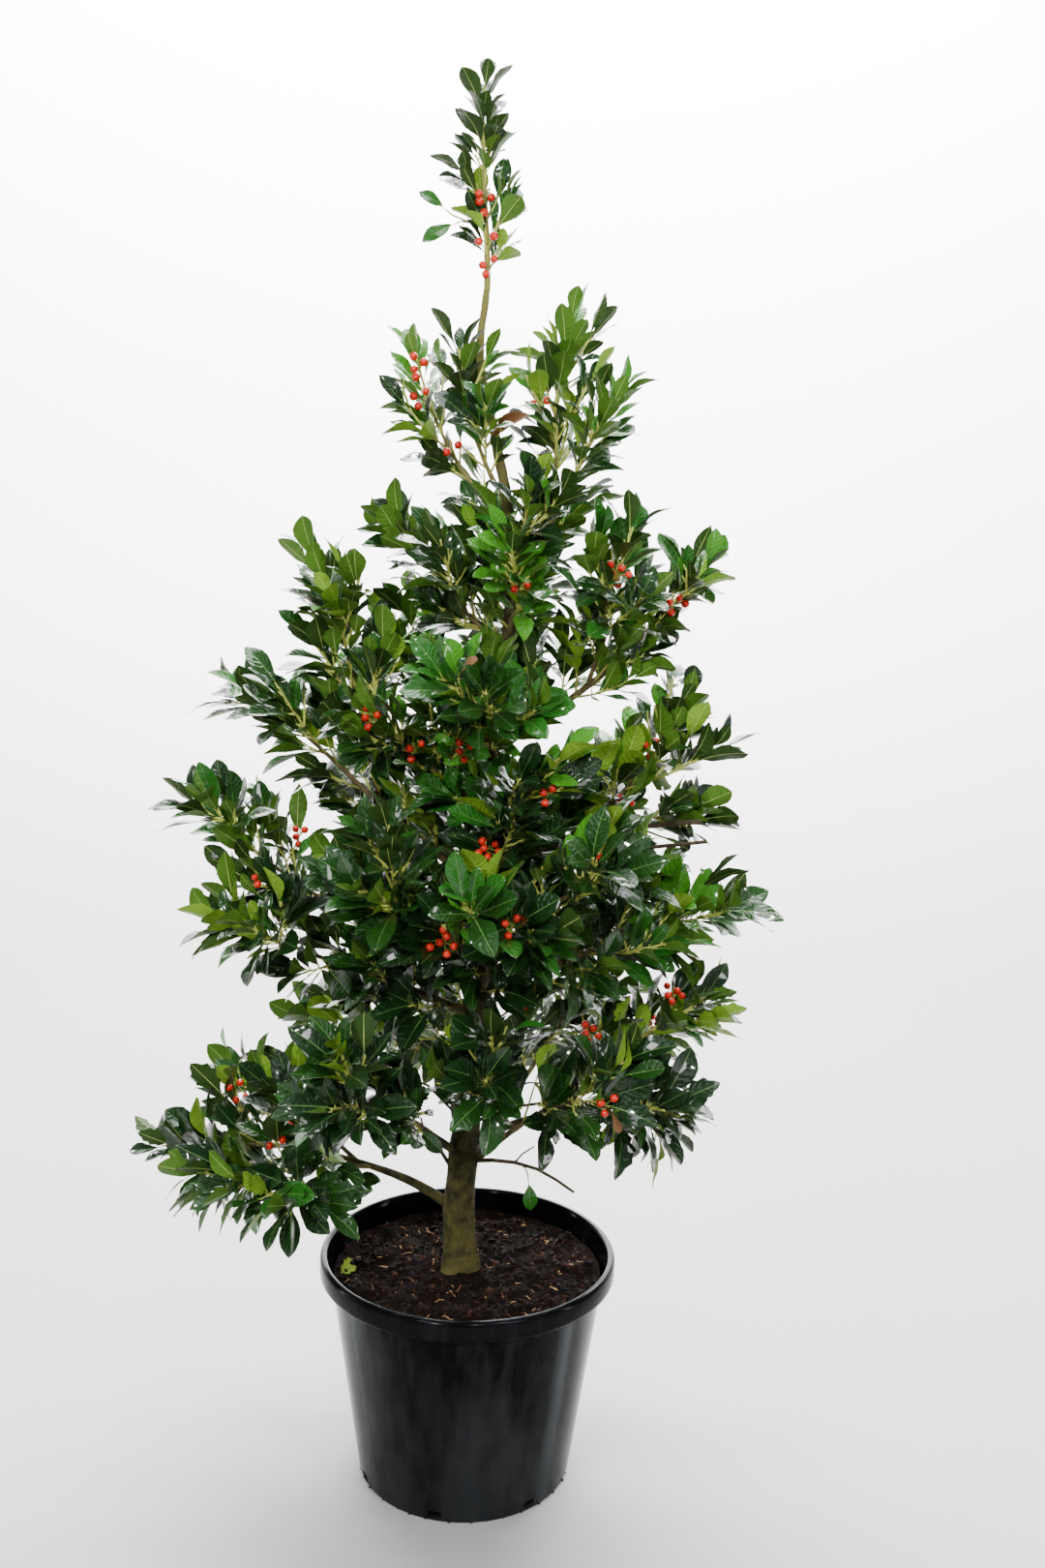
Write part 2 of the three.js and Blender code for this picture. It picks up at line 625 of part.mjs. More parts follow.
// The leaves of one shoot, which turn round it by the golden angle and close up towards its tip. A
// leaf that would leave the mass's space or cross another is tried at a few more turns, then skipped.
function leavesOn({ shoot, twig, from, random }, mass, taken, twigs) {
  const leaves = [];
  const others = twigs.filter((other) => other !== twig);
  const extra = twig === mass.stem ? 1 : 0;
  const count = Math.round((LEAF.perShoot * LEAF.length) / leafLength(shoot.at(1).z)) + extra;
  const first = 360 * random();
  for (let i = 0; i < count; i++) {
    const share = i / (count - 1);
    const t = mix(LEAF.from, LEAF.to, share);
    const foot = shoot.at(t);
    const ahead = shoot.slopeAt(t);
    const level = new Vector3().crossVectors(ahead, UP).normalize();
    const opening = mix(LEAF.spreadLow, LEAF.spreadTip, share) + LEAF.spreadChance * (random() - 0.5);
    const spread = radians(opening * openingOn(ahead));
    const size = leafLength(foot.z) * mix(1, LEAF.tipSize, share) * mix(LEAF.least, LEAF.most, random());
    const tilt = random() - 0.5;
    for (let attempt = 0; attempt < LEAF.attempts; attempt++) {
      const roll = radians(first + i * GOLDEN_ANGLE + attempt * LEAF.attemptTurn);
      const direction = opened(ahead, sideways(ahead, roll, LEAF.overShare), spread);
      const face = new Vector3(foot.x, foot.y, 0).normalize().multiplyScalar(LEAF.outward);
      face.addScaledVector(UP, LEAF.upward).addScaledVector(level, tilt);
      face.addScaledVector(direction, -face.dot(direction)).normalize();
      const root = onSide(twig, mix(from, 1, t), direction).addScaledVector(direction, -LEAF.sunk);
      const leaf = { root, ahead: direction, face, length: size };
      const blade = bladeOf(leaf);
      if (!blade.points.every((point) => isFree(point, mass))) continue;
      if (!isApart(blade, taken, others)) continue;
      taken.push(blade);
      leaves.push(leaf);
      break;
    }
  }
  return leaves;
}

// A side shoot from a point on a stem, curving up as it goes.
function shootFrom(foot, direction, length) {
  const share = clamp((foot.z - SHOOT.liftFrom) / (SHOOT.liftTo - SHOOT.liftFrom), 0, 1);
  const lift = mix(SHOOT.lowLift, SHOOT.lift, share);
  const at = (t) =>
    foot.clone().addScaledVector(direction, length * t).addScaledVector(UP, length * lift * t * t);
  const slopeAt = (t) => direction.clone().addScaledVector(UP, 2 * lift * t).normalize();
  return { at, slopeAt, length };
}

// One mass: its stem, the shoots that branch from it, their leaves and its berries.
function grow(mass, number) {
  const twigs = [mass.stem];
  const onward = (t) => mix(mass.from, 1, t);
  const turn = 360 * stream(FOR_SHOOTS, number)();
  const end = {
    at: (t) => mass.whole.at(onward(mix(LEAF.stemFrom, 1, t))),
    slopeAt: (t) => mass.whole.slopeAt(onward(mix(LEAF.stemFrom, 1, t))),
  };
  const bearers = [{ shoot: end, twig: mass.stem, from: LEAF.stemFrom, random: stream(FOR_STEM, number) }];
  const count = Math.round(mass.length / SHOOT.spacing);
  for (let i = 0; i < count; i++) {
    const random = stream(FOR_SHOOT, number, i);
    const t = mix(SHOOT.from, SHOOT.to, (i + SHOOT.stagger * random()) / count);
    const ahead = mass.whole.slopeAt(onward(t));
    const side = sideways(ahead, radians(turn + i * GOLDEN_ANGLE), SHOOT.overShare, SHOOT.overRise);
    const opening = SHOOT.opening + SHOOT.openingChance * (random() - 0.5);
    const direction = opened(ahead, side, radians(opening * openingOn(ahead)));
    const small = leafLength(mass.whole.at(onward(t)).z) / LEAF.length;
    const full = SHOOT.length * Math.min(1, mass.length / SHOOT.fullStem) * small;
    let length = full * (1 - SHOOT.shortening * t) * mix(SHOOT.least, SHOOT.most, random());
    const foot = onSide(mass.stem, t, direction).addScaledVector(direction, -SHOOT.sunk);
    let shoot = shootFrom(foot, direction, length);
    const fits = () => SHOOT.tested.every((u) => isFree(shoot.at(u), mass));
    while (!fits() && length > SHOOT.shortest) {
      length *= SHOOT.cutBack;
      shoot = shootFrom(foot, direction, length);
    }
    if (length <= SHOOT.shortest) continue;
    const radius = SHOOT.radius * THREE_SIDED;
    const twig = ringsOf(shoot, 0, 1, SHOOT.steps, radius, SHOOT.tipRadius * THREE_SIDED);
    twig.radii[0] = SHOOT.footRadius * THREE_SIDED;
    twigs.push(twig);
    bearers.push({ shoot, twig, from: 0, random });
  }
  const taken = [];
  const leaves = bearers.flatMap((bearer) => leavesOn(bearer, mass, taken, twigs));
  return { twigs, leaves, berries: berriesOn(mass, onward, stream(FOR_BERRIES, number)) };
}

// Berries sit against the stem, in the axils of its older leaves.
function berriesOn(mass, onward, random) {
  return Array.from({ length: mass.fruit ?? 0 }, () => {
    const t = onward(mix(BERRY.from, BERRY.to, random()));
    const side = sideways(mass.whole.slopeAt(t), radians(360 * random()), 1);
    return mass.whole.at(t).addScaledVector(side, BERRY.radius);
  });
}

// ---------------------------------------------------------------- pieces

const finish = (color, roughness) => new THREE.MeshStandardMaterial({ color, roughness, metalness: 0 });
const FINISHES = {
  pot: finish("#23262a", 0.42),
  soil: finish("#2b1d15", 0.95),
  bark: finish("#5b5136", 0.85),
  foliage: finish("#24512f", 0.4),
};
const holly = new THREE.Group();

function addPiece(name, solid, material) {
  const mesh = new THREE.Mesh(geometryOf(solid), material);
  mesh.name = name;
  holly.add(mesh);
}

// A solid turned round the pot's axis from pairs of radius and height.
function turned(profile) {
  const points = profile.map(([radius, height]) => new THREE.Vector2(radius, height));
  return solidOf(new THREE.LatheGeometry(points, POT.segments).rotateX(Math.PI / 2));
}

// The radius of the pot's outer wall at a height under the collar.
const wallRadius = (height) =>
  mix(POT.footRadius, POT.neckRadius, height / (POT.height - POT.collarHeight));

function potSolid() {
  const { height, collarRadius, lipRound, footRound, wall, floor } = POT;
  const under = height - POT.collarHeight;
  let solid = turned([
    [0, 0],
    [POT.footRadius - footRound, 0],
    [wallRadius(footRound), footRound],
    [wallRadius(under), under],
    [collarRadius - POT.collarDraft, under],
    [collarRadius, under + POT.draftHeight],
    [collarRadius, height - lipRound],
    [collarRadius - lipRound, height],
    [collarRadius - 2 * lipRound, height - lipRound],
    [wallRadius(under) - wall, under],
    [wallRadius(floor) - wall, floor],
    [0, floor],
  ]);
  for (let i = 0; i < POT.notches; i++) {
    const notch = new THREE.BoxGeometry(POT.notchDepth, POT.notchWidth, POT.notchHeight);
    notch.translate(POT.footRadius - wall, 0, POT.notchSill + POT.notchHeight / 2);
    notch.rotateZ(radians(POT.firstNotch + (360 / POT.notches) * i));
    solid = solid.subtract(solidOf(notch));
  }
  return solid;
}

function soilSolid() {
  const bottom = POT.floor + GAP;
  const beside = POT.wall + GAP + SOIL.clear;
  return turned([
    [0, bottom],
    [wallRadius(bottom) - beside, bottom],
    [wallRadius(SOIL.level) - beside, SOIL.level],
    [0, SOIL.level],
  ]);
}

// A limb's space with a gap all round it, which is cut from whatever meets the limb.
const sleeveOf = (limb) => limbSolid(limb, limb.sides, GAP);

function massSolid(mass, number) {
  const { twigs, leaves, berries } = grow(mass, number);
  const pieces = twigs.map((twig) => limbSolid(twig, TWIG_SIDES));
  pieces.push(...leaves.map(leafSolid));
  for (const { x, y, z } of berries) {
    pieces.push(solidOf(new THREE.OctahedronGeometry(BERRY.radius, 0).translate(x, y, z)));
  }
  const fused = wasm.Manifold.union(pieces);
  const { meets, limb } = mass.parent;
  return largestOf(meets === "side" ? fused.subtract(sleeveOf(limb)) : fused).simplify(SMOOTHING);
}

addPiece("pot", potSolid(), FINISHES.pot);
addPiece("soil", soilSolid(), FINISHES.soil);

const [trunk, ...boughs] = limbs;
const trunkSleeve = sleeveOf(trunk);
addPiece(trunk.name, limbSolid(trunk, trunk.sides), FINISHES.bark);
for (const bough of boughs) {
  addPiece(bough.name, largestOf(limbSolid(bough, bough.sides).subtract(trunkSleeve)), FINISHES.bark);
}
masses.forEach((mass, number) => {
  addPiece(`foliage_${mass.name}`, massSolid(mass, number), FINISHES.foliage);
});

export default holly;
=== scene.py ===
"""A young holly in a nursery pot, dressed for rendering.

The trunk and the boughs get a relief of bark. Every mass of foliage grows on from them by one seeded rule:
a stem, its side shoots, finer twigs, and the leaves and berries that they bear. The pot is a moulding with
a rolled collar and drain notches, filled with peat. Growth is worked out in millimetres, and meshes are in
metres.
"""

from __future__ import annotations

import logging
import math
from collections.abc import Sequence
from dataclasses import dataclass
from enum import Enum
from math import cos, hypot, pi, radians, sin, sqrt

import bmesh
import bpy
import numpy as np
from bpy.types import Material, Node, NodeSocket, Object
from mathutils import Matrix, Vector, noise

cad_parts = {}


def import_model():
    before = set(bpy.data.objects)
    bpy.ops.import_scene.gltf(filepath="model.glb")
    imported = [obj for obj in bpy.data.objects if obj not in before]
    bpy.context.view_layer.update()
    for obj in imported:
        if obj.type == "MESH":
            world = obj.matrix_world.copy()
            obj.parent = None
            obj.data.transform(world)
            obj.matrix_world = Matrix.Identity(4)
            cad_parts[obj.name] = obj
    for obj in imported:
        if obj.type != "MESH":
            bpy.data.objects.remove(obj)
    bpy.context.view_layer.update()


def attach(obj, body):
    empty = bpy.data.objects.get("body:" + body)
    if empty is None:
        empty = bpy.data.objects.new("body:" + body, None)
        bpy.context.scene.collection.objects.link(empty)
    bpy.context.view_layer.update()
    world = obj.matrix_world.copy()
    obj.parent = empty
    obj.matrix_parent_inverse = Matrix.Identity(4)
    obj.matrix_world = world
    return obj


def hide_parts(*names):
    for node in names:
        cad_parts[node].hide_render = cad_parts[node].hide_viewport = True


LOG = logging.getLogger("holly")
Array = np.ndarray
Pair = tuple[float, float]
Triple = tuple[float, float, float]

MM = 0.001
SEED = 53
GAP = 0.3
GOLDEN_ANGLE = 137.5
THREE_SIDED = 1.5
UP = np.array((0.0, 0.0, 1.0))
BODY = "root"


# ---- the plant's own sizes


@dataclass(frozen=True)
class Reach:
    """A stem's run from where it leaves its parent to its tip, in millimetres and degrees."""

    name: str
    azimuth: float
    reach: float
    height: float
    arrive: float
    start: float = 0
    leave: float = 0
    share: float = 0
    forks: tuple[Reach, ...] = ()


# The trunk's height, sideways and depthwise place, and radius, from the soil up.
TRUNK = np.array([
    (293.3, -11, 0, 27), (325, -12, 0, 23.5), (391, -13, -1, 21), (574, 0, -3, 18), (724, 10, -2, 15.5),
    (911, 19, 2, 12.8), (1091, 30, 4, 10.4), (1225, 40, 2, 8.4), (1315, 35, -2, 7.4), (1423, 14, -4, 6.2),
    (1518, -7, -2, 5.2), (1600, 0, 0, 4.4),
])

BOUGHS = (
    Reach("low_left", 183, 386, 470, -2, 372, 42, 0.46, (
        Reach("low_left_back", 162, 345, 522, 14), Reach("low_left_front", 208, 345, 474, -8))),
    Reach("low_front_left", 236, 275, 612, 12, 455, 38, 0.4),
    Reach("low_front_right", 312, 258, 612, 6, 440, 36, 0.4, (
        Reach("low_front", 276, 238, 655, 16),)),
    Reach("low_right", 343, 285, 556, -10, 470, 34, 0.42, (Reach("low_right_back", 12, 312, 640, 8),)),
    Reach("low_back_right", 58, 320, 590, 6, 420, 38, 0.45),
    Reach("low_back", 104, 320, 560, 0, 460, 36, 0.45, (Reach("low_back_left", 133, 320, 600, 10),)),
    Reach("mid_left_low", 190, 318, 795, 24, 660, 22, 0.46),
    Reach("mid_left", 169, 352, 905, 48, 735, 16, 0.46),
    Reach("mid_front", 282, 245, 850, 20, 690, 38, 0.38, (Reach("mid_front_left", 238, 250, 880, 24),)),
    Reach("mid_front_right", 314, 255, 900, 20, 730, 36, 0.4),
    Reach("mid_right_low", 350, 290, 825, 26, 690, 24, 0.42, (
        Reach("mid_right_back_low", 28, 300, 770, 12),)),
    Reach("mid_right", 2, 275, 945, 18, 870, 18, 0.5, (Reach("mid_right_high", 10, 272, 1062, 64),)),
    Reach("mid_back", 84, 280, 905, 20, 740, 34, 0.4, (Reach("mid_back_right", 50, 280, 920, 24),)),
    Reach("mid_back_left", 128, 280, 930, 26, 790, 34, 0.4),
    Reach("high_left", 176, 290, 1078, 36, 830, 34, 0.5, (
        Reach("upper_left", 190, 208, 1246, 62),)),
    Reach("high_right", 10, 278, 1258, 58, 1040, 20, 0.46, (
        Reach("upper_right_front", 336, 200, 1300, 70),)),
    Reach("top_right", 350, 162, 1462, 58, 1240, 52, 0.36, (Reach("top_right_back", 16, 112, 1568, 78),)),
)
TRUNK_MASSES = (
    Reach("inner_front", 290, 165, 1010, 34, 800, 48),
    Reach("inner_left", 210, 170, 1080, 30, 930, 36),
    Reach("crown_left", 192, 112, 1318, 56, 1150, 40),
    Reach("crown_front", 302, 110, 1350, 56, 1170, 44),
    Reach("high_front", 274, 205, 1120, 26, 1000, 38),
    Reach("high_back", 80, 210, 1150, 30, 980, 38),
    Reach("high_back_left", 134, 200, 1160, 34, 1020, 36),
    Reach("crown_back", 80, 120, 1320, 50, 1150, 44),
    Reach("top_left", 182, 86, 1512, 74, 1310, 40),
    Reach("top_left_front", 222, 44, 1525, 80, 1345, 46),
)
LEADER_START, LEADER_LEAN, LEADER_HEIGHT = 1600, -9, 1812


@dataclass(frozen=True)
class LimbSizes:
    """How boughs taper and bend."""

    foot: float = 4.2
    by_reach: float = 0.00975
    most_of_trunk: float = 0.72
    split: float = 3.7
    fork: float = 3.2
    side: float = 3.4
    leader: float = 4.2
    tip: float = 1.7
    rings: int = 5
    handle: float = 0.36
    wobble: float = 5
    fork_before: float = 20
    fork_along: float = 0.15
    fork_rise: float = 0.1
    stem_step: float = 45
    stem_steps: int = 3


class Purpose(Enum):
    """What a stream of chance is for."""

    BOUGH = 1
    SIDE = 2
    SHOOTS = 3
    STEM = 4
    SHOOT = 5
    SPRIG = 7
    SPUR = 8
    SUBSTRATE = 10
    FRUIT = 11
    BOUGH_SPRIG = 12
    BURRS = 13


@dataclass(frozen=True)
class TwigSizes:
    """How the side twigs of one order leave their parent."""

    purpose: Purpose
    spacing: float
    start: float
    end: float
    length: float
    shortening: float
    least: float
    most: float
    opening: float
    over_share: float
    over_rise: float
    lift: float
    low_lift: float
    shortest: float
    foot: float
    radius: float
    tip: float
    full_parent: float = 190
    stagger: float = 0.6
    opening_chance: float = 16
    sunk: float = 1.8


@dataclass(frozen=True)
class LeafSizes:
    """How leaves sit on their twig, in millimetres, degrees and shares of a leaf's length."""

    length: float = 77
    small_heights: Pair = (900, 1560)
    small: float = 0.8
    rule_small: float = 0.56
    tip_size: float = 0.84
    least: float = 0.62
    most: float = 1.14
    spacing: float = 8
    close: float = 0.7
    twig_close: float = 0.6
    at_tip: int = 5
    spread_low: float = 66
    spread_tip: float = 26
    spread_chance: float = 22
    over_share: float = 0.85
    upright: float = 0.7
    rise: Pair = (0.3, 0.5)
    outward: float = 0.7
    upward: float = 0.6
    along: float = 0.4
    along_upright: float = 1.1
    sunk: float = 0.3
    margin: float = 8
    limb_margin: float = 4
    twig_margin: float = 6
    roaming_margin: float = 8
    apart: float = 6
    twig_apart: float = 2.6
    attempts: int = 5
    attempt_turn: float = 77
    # Painted light: how much lighter the tints of sprays over the crown's middle are painted, between these
    # heights.
    painted_light_share: float = 0.2
    painted_light_heights: Pair = (950, 1200)
    painted_light_ends: Pair = (1750, 1600)
    # Painted shade: how much darker the tints of sprays on the lowest boughs are painted, between these
    # heights.
    painted_shade_share: float = 0.16
    painted_shade_heights: Pair = (780, 580)
    tints: Triple = (0.36, 0.72, 0.93)
    pales: Pair = (0.5, 0.9)
    order_pale: float = 0.08


LIMB = LimbSizes()
LEAF = LeafSizes()
SHOOT = TwigSizes(
    Purpose.SHOOT, 68, 0.16, 0.86, 104, 0.35, 0.8, 1.15, 52, 0.7, 0.12, 0.2, -0.02, 24, 1.1, 1.8, 1.3)
SPRIG = TwigSizes(
    Purpose.SPRIG, 30, 0.22, 0.9, 58, 0.3, 0.75, 1.2, 48, 0.85, 0.18, 0.2, 0.02, 20, 1.1, 1.25, 0.9, 100)
SPUR = TwigSizes(
    Purpose.SPUR, 40, 0.06, 0.8, 56, 0.2, 0.75, 1.2, 56, 0.9, 0.2, 0.22, 0.04, 20, 1.2, 1.3, 0.9, 150)
BOUGH_SPRIG = TwigSizes(
    Purpose.BOUGH_SPRIG, 17, 0.12, 1, 74, 0, 0.7, 1.25, 58, 0.95, 0.3, 0.25, 0.05, 22, 1.3, 1.4, 0.9, 60)
LIFT_HEIGHTS = (480, 900)
STEM_LEAFY_FROM = 0.62
STEM_ONWARD = {
    "leader": 26, "low_left": 30, "low_left_back": 24, "upper_left": 26, "top_right": 16,
    "upper_right_front": 14, "mid_right_high": 22, "high_left": 10, "top_left": 12,
    "low_front_left": 12,
}
SHOOT_ONWARD = 0.28
FILLED_FROM = 560
OPEN_MASSES = ("leader", "top_left", "top_left_front", "top_right_back")
PULLED_BACK = 0.82
TESTED = np.array((0.35, 0.5, 0.65, 0.8, 1))
WOOD_STEP = 6
# Radius and height of the spaces round the pot and round the trunk's foot that stay bare.
BARE_SPACES = ((254, 420), (146, 546))


class Chance:
    """A stream of even random numbers from 0 to 1 that depends on its keys alone."""

    MASK = 0xFFFFFFFF

    def __init__(self, purpose: Purpose, *keys: int) -> None:
        """Mixes the keys into the stream's first state."""
        state = SEED
        for key in (purpose.value, *keys):
            state = (state ^ (key + 0x7F4A7C15)) * 0x85EBCA6B & self.MASK
            state ^= state >> 13
        self.state = state

    def __call__(self, low: float = 0, high: float = 1) -> float:
        """Returns the stream's next number, between low and high."""
        self.state = (self.state + 0x6D2B79F5) & self.MASK
        mixed = (self.state ^ self.state >> 15) * (self.state | 1) & self.MASK
        mixed ^= (mixed + ((mixed ^ mixed >> 7) * (mixed | 61) & self.MASK)) & self.MASK
        return low + (high - low) * (mixed ^ mixed >> 14) / 2**32


# ---- numbers and curves


def mix(a: float, b: float, share: float) -> float:
    """Returns the value at a share of the way from a to b."""
    return a + (b - a) * share


def clamp(value: float, low: float = 0, high: float = 1) -> float:
    """Returns the value held between low and high."""
    return min(max(value, low), high)


def climb(value: float, low: float, high: float) -> float:
    """Returns how far a value has come from low to high, from 0 to 1."""
    return clamp((value - low) / (high - low))


def nearest_whole(value: float) -> int:
    """Returns the nearest whole number, with halves going up."""
    return math.floor(value + 0.5)


def unit(vectors: Array) -> Array:
    """Returns vectors scaled to length 1."""
    return vectors / np.maximum(np.linalg.norm(vectors, axis=-1, keepdims=True), 1e-12)


def around(azimuth: float, reach: float, height: float) -> Array:
    """Returns the point at a reach from the pot's axis, in the direction of an azimuth."""
    angle = radians(azimuth)
    return np.array((reach * cos(angle), reach * sin(angle), height))


def heading(azimuth: float, slope: float) -> Array:
    """Returns the unit vector in the vertical plane of an azimuth, sloping up by a number of degrees."""
    return around(azimuth, cos(radians(slope)), sin(radians(slope)))


def sideways(ahead: Array, roll: float, over_share: float, over_rise: float = 0) -> Array:
    """Returns the direction at an angle round `ahead`: 0 is level, and a right angle is over it."""
    level = unit(np.cross(ahead, UP))
    over = np.cross(level, ahead)
    return level * cos(roll) + over * (over_share * sin(roll) + over_rise)


def opened(ahead: Array, side: Array, angle: float) -> Array:
    """Returns the unit vector that opens from `ahead` towards `side` by an angle."""
    return unit(ahead * cos(angle) + side * sin(angle))


def squared(vector: Array, ahead: Array) -> Array:
    """Returns the unit vector square to `ahead` that is nearest to a vector."""
    return unit(vector - ahead * (vector @ ahead))


def opening_on(ahead: Array) -> float:
    """Returns how much narrower twigs and leaves open round a stem that stands upright."""
    return mix(1, LEAF.upright, clamp(ahead[2]))


def trunk_at(height: float) -> tuple[Array, float]:
    """Returns the trunk's middle and radius at a height, by a smooth curve through its stations."""
    i = 0
    while i < len(TRUNK) - 2 and height > TRUNK[i + 1, 0]:
        i += 1
    before, a, b = TRUNK[max(i - 1, 0)], TRUNK[i], TRUNK[i + 1]
    after = TRUNK[min(i + 2, len(TRUNK) - 1)]
    span = b[0] - a[0]
    u = (height - a[0]) / span
    slope_a = (b - before) / (b[0] - before[0])
    slope_b = (after - a) / (after[0] - a[0])
    value = (2 * u**3 - 3 * u**2 + 1) * a + (u**3 - 2 * u**2 + u) * span * slope_a
    value = value + (3 * u**2 - 2 * u**3) * b + (u**3 - u**2) * span * slope_b
    return np.array((value[1], value[2], height)), float(value[3])


class Run:
    """A limb's curve, which leaves its start and reaches its end in given directions and wanders between."""

    def __init__(self, start: Array, leaving: Array, end: Array, arriving: Array, wander: float) -> None:
        """Sets the curve's four control points."""
        self.length = float(np.linalg.norm(end - start))
        handle = self.length * LIMB.handle
        self.controls = np.array((start, start + leaving * handle, end - arriving * handle, end))
        self.side = unit(np.cross(end - start, UP))
        self.wander = wander

    def at(self, share: Array | float) -> Array:
        """Returns the points at shares of the run."""
        t = np.asarray(share, float)[..., None]
        u = 1 - t
        a, b, c, d = self.controls
        away = LIMB.wobble * 4 * t * u * np.sin(3 * pi * t + self.wander)
        return u**3 * a + 3 * u * u * t * b + 3 * u * t * t * c + t**3 * d + self.side * away

    def slope(self, share: Array | float) -> Array:
        """Returns the unit directions of the run at shares of it."""
        share = np.asarray(share, float)
        return unit(self.at(share + 0.01) - self.at(np.maximum(share - 0.01, 0)))


@dataclass
class Chain:
    """A limb's or a twig's rings: their middles, directions and radii."""

    points: Array
    slopes: Array
    radii: Array

    @classmethod
    def along(
        cls, run: Run | Stretch | Arc, start: float, end: float, steps: int, foot: float, tip: float,
    ) -> Chain:
        """Returns the rings along part of a run, in even steps."""
        shares = np.linspace(start, end, steps + 1)
        return cls(run.at(shares), run.slope(shares), np.linspace(foot, tip, steps + 1))

    def frames(self) -> tuple[Array, Array]:
        """Returns two unit vectors across each ring, turned as little as possible on the way."""
        across = np.array((0, 1, 0) if abs(self.slopes[0][0]) > 0.9 else (1, 0, 0))
        first = []
        for ahead in self.slopes:
            across = squared(across, ahead)
            first.append(across)
        firsts = np.array(first)
        return firsts, np.cross(self.slopes, firsts)

    def rings(self, sides: int) -> Array:
        """Returns the corners of every ring, shaped (rings, sides, 3)."""
        first, third = self.frames()
        angles = 2 * pi * np.arange(sides)[:, None] / sides
        offset = np.cos(angles) * first[:, None] + np.sin(angles) * third[:, None]
        return self.points[:, None] + offset * self.radii[:, None, None]

    def on_side(self, share: float, outward: Array) -> Array:
        """Returns the middle of the side, out of three, that faces outward most, at a share of the chain."""
        first, third = self.frames()
        place = clamp(share) * (len(self.points) - 1)
        ring = min(int(place), len(self.points) - 2)
        middles = []
        for angle in (pi / 3, pi, 5 * pi / 3):
            foot, end = (
                self.points[i] + (first[i] * cos(angle) + third[i] * sin(angle)) * self.radii[i] * 0.5
                for i in (ring, ring + 1))
            middles.append(foot + (end - foot) * (place - ring))
        return max(middles, key=lambda middle: middle @ outward)


@dataclass(frozen=True)
class Stretch:
    """The part of a run that a stem's own leaves sit on, up to the tip or a little past it."""

    run: Run
    start: float
    end: float = 1

    @property
    def length(self) -> float:
        """Returns the stretch's length."""
        return self.run.length * (self.end - self.start)

    def at(self, share: Array | float) -> Array:
        """Returns the points at shares of the stretch."""
        return self.run.at(self.start + (self.end - self.start) * np.asarray(share, float))

    def slope(self, share: Array | float) -> Array:
        """Returns the directions at shares of the stretch."""
        return self.run.slope(self.start + (self.end - self.start) * np.asarray(share, float))


@dataclass(frozen=True)
class Arc:
    """A twig's curve: straight from its foot, bending up as it goes."""

    foot: Array
    direction: Array
    length: float
    lift: float

    def at(self, share: Array | float) -> Array:
        """Returns the points at shares of the twig."""
        t = np.asarray(share, float)[..., None]
        return self.foot + self.direction * self.length * t + UP * self.length * self.lift * t * t

    def slope(self, share: Array | float) -> Array:
        """Returns the directions at shares of the twig."""
        t = np.asarray(share, float)[..., None]
        return unit(self.direction + UP * 2 * self.lift * t)


# ---- the skeleton


@dataclass
class Limb:
    """The trunk or a bough: its rings as the crown's spaces count them, and its finer run."""

    name: str
    chain: Chain
    run: Run | None = None
    share: float = 1


@dataclass
class Mass:
    """A mass of foliage: its stem's run onward from its parent."""

    name: str
    run: Run
    start: float
    foot: float
    stem: Chain

    @property
    def axis(self) -> Stretch:
        """Returns the part of the run that the stem takes."""
        return Stretch(self.run, self.start)


class Spans:
    """Chains laid out as straight pieces, so that many points are tested against them at once."""

    def __init__(self, chains: Sequence[Chain]) -> None:
        """Lays the chains' pieces out one after another."""
        self.starts = np.concatenate([chain.points[:-1] for chain in chains])
        self.ways = np.concatenate([np.diff(chain.points, axis=0) for chain in chains])
        self.counts = np.array([len(chain.points) - 1 for chain in chains])

    def distances(self, points: Array) -> tuple[Array, Array]:
        """Returns how far each point is from each straight piece, and the share along it."""
        offset = points[:, None] - self.starts
        share = np.clip((offset * self.ways).sum(-1) / (self.ways * self.ways).sum(-1), 0, 1)
        return np.linalg.norm(offset - share[..., None] * self.ways, axis=-1), share


